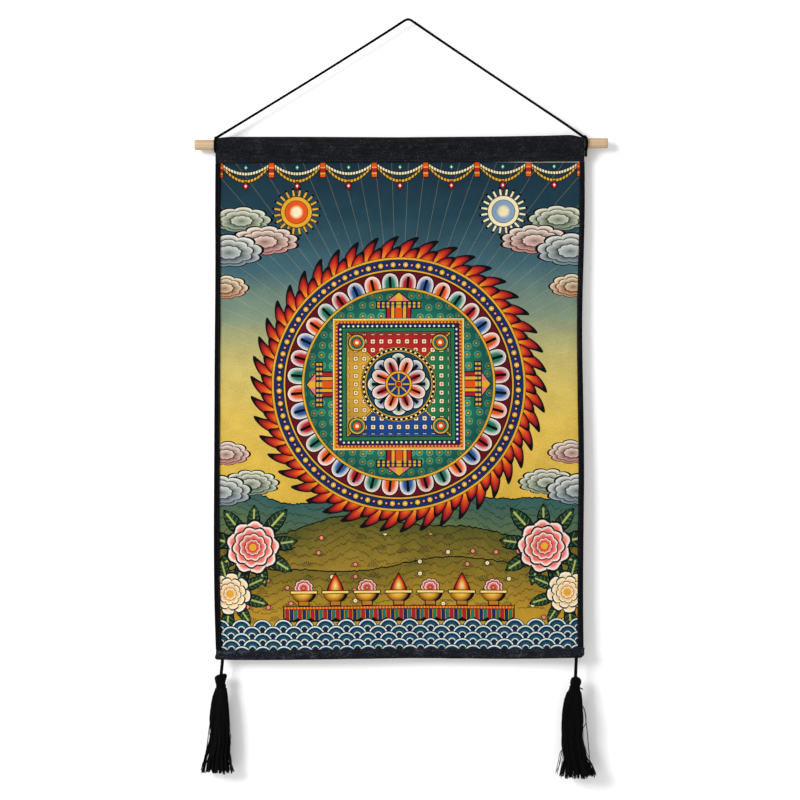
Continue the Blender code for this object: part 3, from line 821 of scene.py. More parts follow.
def lay_bowls(picture, base):
    """A row of gold bowls with flowers and flames in them."""
    f = picture.bench
    pitch = 30.0
    step = picture.x / pitch + 0.5
    x = (f.fraction(step) - 0.5) * pitch
    a = abs(x)
    y = picture.y - base
    row = abs(picture.x) < 105.0
    # what stands in the bowl: a round flower or a flame, by turns
    order = f.fraction(f.floor(step) / 2)
    high = row * (y > 12.0)
    tall = f.length(x / (8.6 - 0.42 * f.most(y - 15.0, 0.0)), (y - 19.0) / 12.6)
    picture.lay(high * (order < 0.25) * (tall < 1.0), f.ramp(tall, (
        (0.0, CREAM), (0.34, GOLD), (0.56, ORANGE), (0.76, CRIMSON), (0.88, INK), (1.0, INK),
    )))
    around = f.turns(x, y - 17.0)
    petal = abs(f.sine(around * (math.pi * 9)))
    flower = f.length(x / 9.6, (y - 17.0) / 9.0) / (0.80 + 0.20 * f.root(petal))
    picture.lay(high * (order > 0.25) * (flower < 1.0), f.ramp(flower, (
        (0.0, GOLD), (0.20, CRIMSON), (0.44, ROSE), (0.56, WHITE), (0.60, INK), (0.64, CRIMSON), (0.78, ROSE),
        (0.88, WHITE), (0.91, INK), (1.0, INK),
    )))
    bowl = f.length(a / 12.0, (y - 13.0) / 10.4)
    picture.lay(row * (bowl < 1.0) * (y < 13.0) * (y > 3.6), f.ramp(bowl + x * 0.012, (
        (0.0, (250, 214, 116)), (0.45, GOLD), (0.80, (140, 82, 22)), (0.90, INK), (1.0, INK),
    )))
    picture.lay(row * (a < 5.4) * (y > 0.0) * (y < 4.4), INK)
    picture.lay(row * (a < 4.4) * (y > 0.7) * (y < 4.2), (184, 120, 34))
    picture.lay(row * (a < 13.2) * (abs(y - 13.0) < 1.8), INK)
    picture.lay(row * (a < 12.3) * (abs(y - 13.0) < 1.0), (250, 214, 116))


def lay_sprigs(picture, top):
    """Small blossoms and tufts of grass scattered on the ground."""
    f = picture.bench
    row = f.floor(picture.y / 13.0)
    across = picture.x / 21.0 + f.fraction(f.sine(row * 4.7) * 31.0)
    column = f.floor(across)
    own = f.fraction(f.sine(column * 12.9 + row * 78.2) * 437.0)
    dx = (f.fraction(across) - 0.3 - 0.4 * own) * 21.0
    dy = (f.fraction(picture.y / 13.0) - 0.25 - 0.5 * f.fraction(own * 7.3)) * 13.0
    ground = (picture.y < top) * (own > 0.3)
    blade = abs(f.fraction(f.turns(dx, dy + 3.0) * 16) - 0.5)
    picture.lay(ground * (f.length(dx, dy + 3.0) < 5.6) * (dy > -3.0) * (blade < 0.17), (26, 44, 30))
    bloom = f.length(dx, dy)
    ground = ground * (own > 0.55)
    picture.lay(ground * (bloom < 2.4), INK)
    picture.lay(ground * (bloom < 1.8), f.mix(own > 0.78, tint(*CREAM), tint(*ROSE)))
    picture.lay(ground * (bloom < 0.7), GOLD)


def lay_bare_edges(picture):
    """The ink stops short of the heading at the upper right, and of the binding at the right."""
    f = picture.bench
    top_gap = f.spread(picture.x, -20.0, 120.0, -2.0, 1.2) - (PRINT_HEIGHT / 2 - picture.y)
    side_gap = f.spread(picture.y, 60.0, -150.0, -1.0, -0.1) - (PRINT_WIDTH / 2 - picture.x)
    picture.lay(f.most(top_gap > 0.0, side_gap > 0.0), (222, 216, 198))


def lay_wear(picture):
    """The ink sits a little unevenly in the weave, and in broad washes."""
    f = picture.bench
    mottle = f.noise(picture.spot(800.0, 800.0), 1.0, 3.0, 0.6)
    wash = f.noise(picture.spot(45.0, 45.0), 1.0, 3.0, 0.6)
    picture.paint = f.blended("MULTIPLY", 1.0, picture.paint, f.ramp(mottle * 0.6 + wash * 0.4, (
        (0.34, grey(0.60)), (0.62, grey(0.86)),
    )))


def lay_mandala(picture, centre_y, size):
    """Rings round a square palace, with a lotus in the middle."""
    middle = Picture(picture.bench, picture.x / size, (picture.y - centre_y) / size, picture.paint)
    for part in (lay_rings, lay_palace, lay_court, lay_lotus):
        middle.add(part)
    picture.paint = middle.paint


SKY_BLUE, SKY_ROSE = ((62, 108, 150), (200, 222, 224)), ((206, 96, 104), (250, 214, 196))
SKY_GREEN, SKY_GOLD = ((70, 132, 104), (214, 226, 190)), ((216, 112, 44), (250, 216, 136))


def on_canvas(finish):
    """Where a point is on the canvas, in millimetres from its middle."""
    across, up, _ = finish.split(finish.place("Print"))
    return across * 1000, up * 1000


def canvas_weave(finish, x, y):
    """The threads' rise and fall, from -1 to 1."""
    return finish.sine(x * (math.tau / WEAVE_PITCH)) * finish.sine(y * (math.tau / WEAVE_PITCH))


def printed_canvas():
    finish = Finish("printed_canvas", 0.84, 0.08)
    x, y = on_canvas(finish)
    picture = Picture(finish, x, y)
    mandala_y = 20.0
    picture.add(lay_sky)
    picture.add(lay_rays, mandala_y)
    picture.add(lay_disc, -98.0, 184.0, 13.0, ORANGE, GOLD, 20)
    picture.add(lay_disc, 98.0, 184.0, 13.0, (132, 160, 188), CREAM, 20)
    picture.add(lay_swags)
    picture.add(lay_hill, -84.0, 8.0, 34.0, 0.8, (38, 88, 92), (104, 118, 62))
    picture.add(lay_hill, -116.0, 9.0, 47.0, 2.1, (66, 76, 32), (158, 128, 44))
    for cloud in (
        (150.0, 176.0, 30.0, 14.0, 9, 0.4, *SKY_GREEN),
        (128.0, 156.0, 34.0, 16.0, 11, 1.4, *SKY_ROSE),
        (162.0, 146.0, 34.0, 18.0, 9, 0.9, *SKY_BLUE),
        (166.0, 112.0, 24.0, 13.0, 9, 0.2, *SKY_GOLD),
        (164.0, -46.0, 24.0, 13.0, 9, 0.2, *SKY_ROSE),
        (140.0, -74.0, 28.0, 14.0, 11, 0.7, *SKY_GREEN),
        (168.0, -82.0, 30.0, 17.0, 9, 1.1, *SKY_BLUE),
    ):
        picture.add(lay_cloud, *cloud)
    picture.add(lay_mandala, mandala_y, 1.03)
    picture.add(lay_hill, -152.0, 6.0, 52.0, 0.2, (96, 92, 34), (190, 146, 44))
    picture.add(lay_sprigs, -122.0)
    picture.add(lay_ledge, -190.0)
    picture.add(lay_bowls, -190.0)
    picture.add(lay_leaves, 138.0, -134.0, 44.0, 9, 0.2)
    picture.add(lay_leaves, 160.0, -178.0, 38.0, 9, 0.6)
    picture.add(lay_flower, 160.0, -178.0, 21.0, 8, 1.0, (206, 84, 30), (236, 150, 70), (250, 222, 160))
    picture.add(lay_flower, 138.0, -134.0, 27.0, 9, 0.3, (124, 12, 30), (196, 36, 48), (240, 130, 116))
    picture.add(lay_waves, -212.0, 10.0, 5)
    picture.add(lay_bare_edges)
    picture.add(lay_wear)
    finish.feed("Base Color", picture.paint)
    finish.feed("Roughness", 0.78 + 0.14 * finish.noise(finish.join(x, y), 0.8, 3.0, 0.6))
    weave = canvas_weave(finish, x, y)
    cockle = finish.noise(finish.join(x * 0.011, y * 0.006), 1.0, 2.0)
    finish.bump(weave * 0.00006 + cockle * 0.0022, 1.0, 0.8)
    return finish.material


def canvas_back():
    finish = Finish("canvas_back", 0.88, 0.2)
    x, y = on_canvas(finish)
    slub = finish.noise(finish.join(x * 0.05, y * 1.4), 1.0, 2.0)
    slub_across = finish.noise(finish.join(x * 1.4, y * 0.05), 1.0, 2.0)
    stain = finish.noise(finish.join(x * 0.012, y * 0.012), 1.0, 4.0, 0.6)
    tone = (slub + slub_across) * 0.35 + stain * 0.3
    finish.feed("Base Color", finish.ramp(tone, (
        (0.30, (206, 196, 172)), (0.50, (226, 219, 200)), (0.72, (238, 233, 219)),
    )))
    finish.bump(canvas_weave(finish, x, y) * 0.00008 + (slub + slub_across) * 0.00012, 1.0, 0.8)
    return finish.material


TWILL_PITCH = 0.0012


def black_twill(name, dark, pale):
    """Black cotton twill with blue-grey flecks where the diagonal ribs are rubbed."""
    finish = Finish(name, 0.9, 0.06)
    finish.shader.inputs["Sheen Weight"].default_value = 0.008
    finish.shader.inputs["Sheen Roughness"].default_value = 0.5
    where = finish.place()
    x, _, z = finish.split(where)
    rib = finish.sine((x + z) * (math.tau / TWILL_PITCH))
    fleck = finish.noise(where, 620.0, 3.0, 0.7)
    worn = finish.noise(where, 90.0, 3.0, 0.6)
    slub = finish.noise(finish.scaled(where, 60.0, 60.0, 700.0), 1.0, 2.0)
    tone = fleck * 0.6 + worn * 0.2 + slub * 0.2 + rib * 0.02
    finish.feed("Base Color", finish.ramp(tone, (
        (0.34, dark), (0.52, tuple((3 * d + p) // 4 for d, p in zip(dark, pale))), (0.64, pale),
    )))
    finish.feed("Roughness", 0.82 + 0.14 * fleck)
    finish.bump(rib * 0.00010 + fleck * 0.00012 + worn * 0.0002, 1.0, 0.7)
    return finish.material


def sewing_thread():
    finish = Finish("sewing_thread", 0.6, 0.35)
    where = finish.place()
    turn = finish.sine(finish.noise(where, 900.0, 2.0) * 9)
    finish.feed("Base Color", finish.mix(0.5 + 0.5 * turn, tint(10, 10, 13), tint(34, 35, 40)))
    finish.bump(turn * 0.00003, 1.0, 0.6)
    return finish.material


def bare_wood():
    """Sanded softwood: growth rings round a line beside the dowel, with fine pores along it."""
    finish = Finish("dowel_wood", 0.6, 0.3)
    where = finish.place()
    wander = finish.noise(finish.scaled(where, 14.0, 90.0, 90.0), 1.0, 2.0) - 0.5
    x, y, z = finish.split(where)
    far = finish.length(y - 0.006, z + 0.129) + wander * 0.0030
    ring = finish.fraction(far / 0.0021)
    pores = finish.noise(finish.scaled(where, 120.0, 2600.0, 2600.0), 1.0, 2.0, 0.6)
    cloudy = finish.noise(finish.scaled(where, 22.0, 70.0, 70.0), 1.0, 3.0)
    grain = ring * 0.42 + pores * 0.34 + cloudy * 0.24
    colour = finish.ramp(grain, (
        (0.16, (199, 174, 145)), (0.46, (187, 159, 128)), (0.66, (175, 145, 112)), (0.86, (154, 123, 90)),
    ))
    # the wood is darker near the cut ends
    out = finish.most(x - (SCROLL_AT.x + DOWEL_RIGHT - 0.0009), (SCROLL_AT.x + DOWEL_LEFT + 0.0009) - x)
    end_darkening = finish.spread(out, 0.0, 0.0009, 0.0, 0.55)
    finish.feed("Base Color", finish.mix(end_darkening, colour, tint(150, 112, 76)))
    finish.feed("Roughness", 0.52 + 0.22 * pores)
    finish.bump(pores * 0.00008 + ring * 0.00004, 1.0, 0.7)
    return finish.material


def black_cord(name, dark, pale):
    """Twisted cord: fibres run along each ply, and the map's second number runs along the cord."""
    finish = Finish(name, 0.7, 0.03)
    around, along, _ = finish.split(finish.place("Lay"))
    fibre = finish.noise(finish.join(around * 40.0, along * 900.0), 1.0, 2.0)
    # each ply's crown is painted paler and the grooves between plies darker: painted highlight and painted shade,
    # over the fibres' own tone
    ply = abs(finish.sine(around * (math.pi * 3)))
    lit = finish.spread(fibre * 0.6 + ply * 0.4, 0.25, 0.85)
    finish.feed("Base Color", finish.mix(lit, tint(*dark), tint(*pale)))
    finish.feed("Roughness", 0.5 + 0.3 * fibre)
    finish.bump(fibre * 0.00006, 1.0, 0.7)
    return finish.material


def tassel_thread():
    """Black silky thread: each strand has its own tone, and its tip is paler."""
    finish = Finish("tassel_thread", 0.6, 0.06)
    own, along, _ = finish.split(finish.place("Lay"))
    twist = finish.sine(along * 260 + own * 40)
    tone = own * 0.6 + twist * 0.16 + finish.spread(along, 0.86, 1.0, 0.0, 0.25)
    finish.feed("Base Color", finish.ramp(tone, (
        (0.05, (2, 2, 3)), (0.60, (7, 7, 8)), (0.95, (20, 20, 22)),
    )))
    finish.feed("Roughness", 0.55 + 0.22 * own)
    finish.bump(twist * 0.00004, 1.0, 0.6)
    return finish.material


# Shapes

def held(value):
    """The value, kept from 0 to 1."""
    return min(max(value, 0.0), 1.0)


def part_way(start, end, share):
    return start + (end - start) * share


def between(rows, at, column):
    """The column's value at that share, on straight lines between the table's rows."""
    for low, high in zip(rows, rows[1:]):
        if at <= high[0]:
            share = (at - low[0]) / (high[0] - low[0])
            return part_way(low[column], high[column], max(share, 0.0))
    return rows[-1][column]


def eased(rows, at, column, reach=0.05):
    """The same, smoothed by averaging over a short stretch each way."""
    offsets = (-reach, -reach / 2, 0.0, reach / 2, reach)
    return sum(between(rows, min(max(at + o, rows[0][0]), rows[-1][0]), column) for o in offsets) / 5


def share_down(z):
    return held((HEADING_BOTTOM - z) / (HEADING_BOTTOM - HEM_BOTTOM))


def share_across(x):
    return held(x / BODY_WIDTH + 0.5)


def cloth_depth(x, z):
    """How far the middle of the cloth stands from the dowel's plane, with -Y to the front."""
    down = share_down(z)
    across = share_across(x)
    lean = -FORWARD * down**LEAN_POWER
    ripple = RIPPLE * down * math.cos(math.tau * RIPPLES_ACROSS * across + RIPPLE_START)
    sway = SWAY * down * math.sin(math.tau * SWAYS_DOWN * down) * (2 * across - 1)
    return lean + ripple + sway


def side_x(side, z):
    """Where the outer edge of the cloth is, on the side -1 or 1, at that height."""
    column = 1 if side < 0 else 2
    return side * (BODY_WIDTH / 2 + eased(EDGE_ROWS, share_down(z), column))


def strip_width(z):
    """The side strips widen a little towards the foot."""
    return BINDING_WIDTH * (1.03 + 0.15 * share_down(z))


def hung(x, y, z):
    """A place on the flat cloth, with y its distance from the middle of the cloth, as it hangs."""
    sag = -eased(SAG_ROWS, share_across(x), 1) * share_down(z) ** 3
    return SCROLL_AT + Vector((x, cloth_depth(x, z) + y, z + TILT * x + sag))


def spaced(start, end, count):
    return [start + (end - start) * i / (count - 1) for i in range(count)]


def uneven(place, reach, size):
    """A small push to each side that changes slowly from place to place, for what is cut or sewn by hand."""
    return reach * noise.noise(Vector(place) / size)


def arc(radius, start, end, steps, centre=(0.0, 0.0)):
    """Points along an arc from one angle to another, in radians from +Y towards +Z."""
    angles = spaced(start, end, steps + 1)
    return [(centre[0] + radius * math.cos(t), centre[1] + radius * math.sin(t)) for t in angles]


def tangent_angle(radius, y, z):
    """Where a straight run of cloth from (y, z) below meets a circle round the dowel, on the +Y side."""
    return math.atan2(z, y) + math.acos(radius / math.hypot(y, z))


def smooth_points(route, steps):
    """Points on a smooth curve through the route's own points."""
    padded = [route[0] * 2 - route[1], *route, route[-1] * 2 - route[-2]]
    points = []
    for before, start, end, after in zip(padded, padded[1:], padded[2:], padded[3:]):
        for i in range(steps):
            t = i / steps
            linear = (end - before) * t
            square = (before * 2 - start * 5 + end * 4 - after) * t**2
            cube = (start * 3 - before - end * 3 + after) * t**3
            points.append((start * 2 + linear + square + cube) / 2)
    return [*points, route[-1]]


def skin_layers(bm):
    """The two numbers kept at each point of a swept skin: across it and along it."""
    layers = bm.verts.layers.float
    return [layers.get(name) or layers.new(name) for name in ("across", "along")]


def sweep(bm, count, stations, place):
    """A closed skin: a ring of count points that place carries through the stations."""
    across, along = skin_layers(bm)
    ring = [bm.verts.new(place(stations[0], i)) for i in range(count)]
    for i, vert in enumerate(ring):
        vert[across] = i / count
    cap = bm.faces.new(ring)
    for order, station in enumerate(stations[1:], 1):
        cap = bmesh.ops.extrude_discrete_faces(bm, faces=[cap])["faces"][0]
        for i, vert in enumerate(cap.verts):
            vert.co = place(station, i)
            vert[along] = order / (len(stations) - 1)
    bm.faces.new(reversed(ring))


def carried_frames(points):
    """Each point with two directions across the line there, carried along it without a twist."""
    frames = []
    side = None
    for i, point in enumerate(points):
        ahead = (points[min(i + 1, len(points) - 1)] - points[max(i - 1, 0)]).normalized()
        if side is None:
            side = ahead.orthogonal()
        side = (side - ahead * side.dot(ahead)).normalized()
        frames.append((point, side, ahead.cross(side)))
    return frames


def add_rope(bm, points, radius, pitch=CORD_PITCH, sides=18, plies=3, groove=0.06, ends=1.0):
    """A twisted cord along the points: its section has a lobe for each ply and turns as it goes."""
    frames = carried_frames(points)
    run = [0.0]
    for here, there in zip(points, points[1:]):
        run.append(run[-1] + (there - here).length)

    def place(station, i):
        point, side, up = frames[station]
        angle = math.tau * i / sides
        lobe = 1 - groove * (1 - abs(math.sin(plies / 2 * angle)))
        turn = angle + math.tau * run[station] / pitch
        end = ends if station in (0, len(frames) - 1) else 1.0
        return point + (side * math.cos(turn) + up * math.sin(turn)) * (radius * lobe * end)

    sweep(bm, sides, list(range(len(frames))), place)


def written(name, bm):
    """The shape as a mesh of that name."""
    mesh = bpy.data.meshes.new(name)
    bm.to_mesh(mesh)
    bm.free()
    return mesh


def linked(name, data):
    """A new object in the scene."""
    made = bpy.data.objects.new(name, data)
    bpy.context.scene.collection.objects.link(made)
    return made


def add_piece(name, bm, finishes, replaced=(), sharp=40.0, wrapped=True):
    """Writes the map from the skin's numbers, closes the mesh and puts it on the object."""
    bmesh.ops.recalc_face_normals(bm, faces=bm.faces)
    layers = bm.verts.layers.float
    if layers.get("along"):
        across, along = skin_layers(bm)
        lay = bm.loops.layers.uv.new("Lay")
        for face in bm.faces:
            turns = [loop.vert[across] for loop in face.loops]
            past_seam = wrapped and max(turns) - min(turns) > 0.5
            for loop, turn in zip(face.loops, turns):
                loop[lay].uv = (turn + 1.0 if past_seam and turn < 0.5 else turn, loop.vert[along])
        layers.remove(across)
        layers.remove(layers.get("along"))
    mesh = written(name, bm)
    mesh.shade_smooth()
    mesh.set_sharp_from_angle(angle=math.radians(sharp))
    for finish in finishes:
        mesh.materials.append(finish)
    piece = linked(name, mesh)
    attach(piece, "root")
    if replaced:
        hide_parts(*replaced)
    return piece


# Camera and cords

CAMERA_AT = (-0.0078, -2.114, -0.3611)
LENS = 100
SENSOR = 36


def add_camera():
    data = bpy.data.cameras.new("camera")
    data.lens = LENS
    data.sensor_width = SENSOR
    camera = linked("camera", data)
    camera.location = CAMERA_AT
    camera.rotation_euler = (math.radians(90), 0.0, 0.0)
    bpy.context.scene.camera = camera


def add_hanging_cord(finish, ends):
    route = [Vector((x, 0.0, z)) for x, z in CORD_ROUTE]
    points = smooth_points(route, 28)
    bm = bmesh.new()
    add_rope(bm, points, CORD_RADIUS * FULL)
    cord = add_piece("cord_over_nail", bm, [finish], ["hanging_cord"], sharp=70.0)
    tuple(points[0])
    [tuple(p) for p in points]


def knot_points(radius):
    """A small overhand knot, as the line of its cord."""
    points = []
    for t in spaced(0.0, math.tau, 61):
        place = (math.sin(t) + 2 * math.sin(2 * t), -math.sin(3 * t), math.cos(t) - 2 * math.cos(2 * t))
        points.append(Vector(place) * radius / 3)
    return points


def add_cord_end(name, loop, finish, replaced):
    """The cord's turn round the dowel, the knot on top of it and the tail that hangs from it."""
    side = loop["side"]
    middle = SCROLL_AT + Vector((loop["x"], 0.0, TILT * loop["x"]))
    radius = CORD_RADIUS * FULL * 1.1
    bm = bmesh.new()
    turn = []
    for angle, past in zip(spaced(0.0, math.tau, 61), spaced(-0.5, 0.5, 61)):
        y = (LOOP_RADIUS + 0.0002) * math.cos(KNOT_ANGLE + angle)
        z = (LOOP_RADIUS + 0.0002) * math.sin(KNOT_ANGLE + angle)
        bow = loop["bow"] * math.sqrt(max(-y / LOOP_RADIUS, 0.0))
        lean_in = loop["top_in"] * max(z / LOOP_RADIUS, 0.0) ** 4
        # the turn's two ends pass each other under the knot
        turn.append(middle + Vector((side * (bow + LOOP_CROSSING * past - lean_in), y, z)))
    add_rope(bm, turn, radius, pitch=TIGHT_PITCH)
    # the knot is pulled tight where the hanging cord comes in
    end_x, end_z = CORD_ROUTE[0 if side < 0 else -1]
    cord_end = Vector((end_x, 0.0, end_z))
    knot_at = (turn[0] + cord_end) / 2 + Vector((0.0, 0.0, KNOT_LIFT))
    add_rope(bm, smooth_points([cord_end, knot_at, turn[0]], 6), radius * 0.96, pitch=TIGHT_PITCH)
    thin = loop["knot_radius"] * 0.42
    knot = [knot_at + p for p in knot_points(loop["knot_radius"] - thin * 0.8)]
    add_rope(bm, knot, thin, pitch=0.004, sides=12)
    core = bmesh.ops.create_icosphere(bm, subdivisions=2, radius=loop["knot_radius"] * 0.72)["verts"]
    bmesh.ops.translate(bm, verts=core, vec=knot_at)
    route = [middle + Vector((side * out, y, z)) for out, y, z in loop["tail"]]
    add_rope(bm, smooth_points(route, 8), radius * 0.96, pitch=TIGHT_PITCH, ends=0.82)
    return add_piece(name, bm, [finish], [replaced], sharp=70.0)


def add_tassel_cord(name, tassel, finish, replaced):
    """From inside the hem's pocket, through its hole, into the top of the tassel's head."""
    hole = hung(tassel["hole_x"], 0.0, HEM_BOTTOM)
    top_up, top_shift, _ = tassel["head"][-1]
    x, z = tassel["neck"]
    end = Vector((SCROLL_AT.x + x + top_shift, hole.y, SCROLL_AT.z + z + top_up - 0.0006))
    start = hole + Vector((0.0, 0.0, HEM_RADIUS))
    below = hole - Vector((0.0, 0.0, CLOTH))
    above = end + Vector((0.0, 0.0, 0.0030))
    route = [start, hole, below, (below + above) / 2, above, end]
    bm = bmesh.new()
    add_rope(bm, smooth_points(route, 10), CORD_RADIUS * FULL * TASSEL_CORD_SWELL, pitch=TIGHT_PITCH)
    add_piece(name, bm, [finish], [replaced], sharp=70.0)


# Tassels

def neck_place(tassel):
    x, z = tassel["neck"]
    return SCROLL_AT + Vector((x, cloth_depth(tassel["hole_x"], HEM_BOTTOM), z))


def strand_pattern(sides, steps):
    """A unit tube for copying: its points hold their place round it and along it."""
    bm = bmesh.new()
    sweep(bm, sides, list(range(steps + 1)), lambda station, i: Vector((
        math.cos(math.tau * i / sides), math.sin(math.tau * i / sides), station / steps,
    )))
    bmesh.ops.recalc_face_normals(bm, faces=bm.faces)
    return written("strand_pattern", bm)


def lay_strand(bm, pattern, points, radius, tone, tip=0.6):
    """A copy of the pattern, laid along the points."""
    first = len(bm.verts)
    bm.from_mesh(pattern)
    bm.verts.ensure_lookup_table()
    across, along = skin_layers(bm)
    frames = carried_frames(points)
    last = len(points) - 1
    for vert in bm.verts[first:]:
        station = round(vert.co.z * last)
        point, side, up = frames[station]
        size = radius * (tip if station == last else 1.0)
        vert.co = point + (side * vert.co.x + up * vert.co.y) * size
        vert[across] = tone
        vert[along] = station / last


def spread_on_disc(count, start=0.0):
    """Places spread evenly over a disc of unit size, the outer ones last."""
    places = []
    for order in range(count):
        reach = math.sqrt((order + 0.5) / count)
        angle = order * GOLDEN_ANGLE + start
        places.append((reach * math.cos(angle), reach * math.sin(angle)))
    return places


def skirt_points(tassel, home, lock, own):
    """A strand's line from its home in the neck, which is round and of unit size, to its tip.

    The strands of a lock hang together, more so the further down they are.
    """
    rows = tassel["skirt"]
    length = rows[-1][0]
    points = []
    for i in range(STRAND_STEPS + 1):
        down = own["tip"] * i / STRAND_STEPS
        share = down / length
        shift, width, depth = (eased(rows, down, column, 0.003) for column in (1, 2, 3))
        width *= 1 - DRAWN_IN * held((share - 0.28) / 0.25)
        pull = GATHERED * share**1.3
        across, deep = (
            h + (k * 1.04 - h) * pull + (lean + bit) * share
            for h, k, lean, bit in zip(home, lock["home"], lock["lean"], own["lean"])
        )
        wave = math.sin(lock["phase"] + share * 7) * 0.0007 * share + math.sin(own["phase"] + share * 13) * 0.0003
        points.append(Vector((shift + across * width + wave, deep * depth + wave * 0.6, -down)))
    return points


def loose_points(tassel, side, start, own):
    """A thread that comes loose part of the way down, and wanders just outside the rest on that side."""
    rows = tassel["skirt"]
    length = rows[-1][0]
    points = []
    for i in range(STRAND_STEPS + 1):
        share = start + (1 - start) * i / STRAND_STEPS
        shift, width = (eased(rows, share * length, column, 0.003) for column in (1, 2))
        away = min((share - start) / 0.10, 1.0)
        wave = math.sin(own["phase"] + share * own["waves"])
        out = 0.80 + (own["out"] - 0.80) * away + 0.05 * away * wave
        points.append(Vector((shift + side * out * width, own["deep"] * width, -share * own["tip"])))
    return points


def head_points(tassel, angle):
    """A folded thread's line over the head, from the neck up to the hole for the cord."""
    rows = tassel["head"]
    points = []
    for i in range(HEAD_STEPS + 1):
        at = (len(rows) - 1) * i / HEAD_STEPS
        low = min(int(at), len(rows) - 2)
        share = at - low
        up, shift, width = (part_way(start, end, share) for start, end in zip(rows[low], rows[low + 1]))
        up += tassel["top_lean"] * math.cos(angle) * held((i / HEAD_STEPS - 0.5) * 4)
        width -= STRAND_RADIUS
        points.append(Vector((shift + math.cos(angle) * width, math.sin(angle) * width * HEAD_DEPTH_SHARE, up)))
    return points


def add_tassel(name, tassel, finish, replaced):
    chance = random.Random(tassel["seed"])
    neck = neck_place(tassel)
    length = tassel["skirt"][-1][0]
    locks = [
        {
            "home": home,
            "lean": (
                chance.gauss(0.0, LOCK_LEAN) + home[0] * chance.uniform(-0.08, SPLAY),
                chance.gauss(0.0, LOCK_LEAN),
            ),
            "phase": chance.uniform(0, math.tau),
            "short": tassel["tip_spread"] * chance.random(),
        }
        for home in spread_on_disc(LOCKS, 0.7)
    ]
    bm = bmesh.new()
    pattern = strand_pattern(4, STRAND_STEPS)
    for home in spread_on_disc(STRANDS):
        lock = min(locks, key=lambda k: math.dist(k["home"], home))
        own = {
            "lean": (chance.gauss(0.0, 0.02), chance.gauss(0.0, 0.02)),
            "phase": chance.uniform(0, math.tau),
            "tip": length - lock["short"] - 0.0016 * chance.random() ** 2,
        }
        points = skirt_points(tassel, home, lock, own)
        lay_strand(bm, pattern, [neck + p for p in points], STRAND_RADIUS, chance.random())
    for side, start, count in tassel["loose"]:
        for _ in range(count):
            own = {
                "out": chance.uniform(0.87, 0.99),
                "phase": chance.uniform(0, math.tau),
                "waves": chance.uniform(16, 44),
                "deep": chance.uniform(-0.35, 0.35),
                "tip": length - tassel["tip_spread"] * chance.random(),
            }
            points = loose_points(tassel, side, start + 0.16 * chance.random(), own)
            lay_strand(bm, pattern, [neck + p for p in points], STRAND_RADIUS * 1.15, chance.random())
    for stray in tassel["strays"]:
        route = smooth_points([Vector(p) for p in stray], 4)
        points = [neck + route[round(at)] for at in spaced(0, len(route) - 1, STRAND_STEPS + 1)]
        lay_strand(bm, pattern, points, STRAND_RADIUS * 1.4, chance.random())
    bpy.data.meshes.remove(pattern)
    pattern = strand_pattern(5, HEAD_STEPS)
    for order in range(HEAD_THREADS):
        angle = math.tau * order / HEAD_THREADS + chance.uniform(-0.05, 0.05)
        points = [neck + p for p in head_points(tassel, angle)]
        lay_strand(bm, pattern, points, STRAND_RADIUS * 1.35, chance.random(), 0.9)
    bpy.data.meshes.remove(pattern)
    # what fills the head behind its outer threads
    core = bmesh.ops.create_uvsphere(bm, u_segments=16, v_segments=10, radius=1.0)["verts"]
    top = tassel["head"][-2][0]
    for vert in core:
        up = (vert.co.z * 0.5 + 0.5) * (top - 0.0006)
        width = eased(tassel["head"][:-1], up, 2, 0.0003) - 2.2 * STRAND_RADIUS
        shift = eased(tassel["head"][:-1], up, 1, 0.0003)
        flat = max(math.hypot(vert.co.x, vert.co.y), 0.001)
        out = min(flat * 2.2, 1.0) / flat
        vert.co = neck + Vector((shift + vert.co.x * out * width, vert.co.y * out * width * HEAD_DEPTH_SHARE, up))
    add_piece(name, bm, [finish], [replaced], sharp=60.0, wrapped=False)


def add_neck_tie(name, tassel, finish, replaced):
    """The thread wound round the neck."""
    neck = neck_place(tassel)
    low, high, radius, turns = tassel["tie"]
    points = []
    for share in spaced(0.0, 1.0, 151):
        angle = math.tau * turns * share
        shift = eased(tassel["head"][:-1], low, 1, 0.0003)
        wide = radius + 0.0002 * math.sin(angle * 0.37)
        points.append(neck + Vector((
            shift + math.cos(angle) * wide,
            math.sin(angle) * wide * HEAD_DEPTH_SHARE,
            low + (high - low) * share,
        )))
    bm = bmesh.new()
    add_rope(bm, points, 0.00034, pitch=0.0012, sides=6, plies=2, groove=0.1)
    add_piece(name, bm, [finish], [replaced], sharp=70.0)


# Cloth

STITCH_RADIUS = 0.00028
STITCHES_ACROSS = 132
STITCHES_DOWN = 172


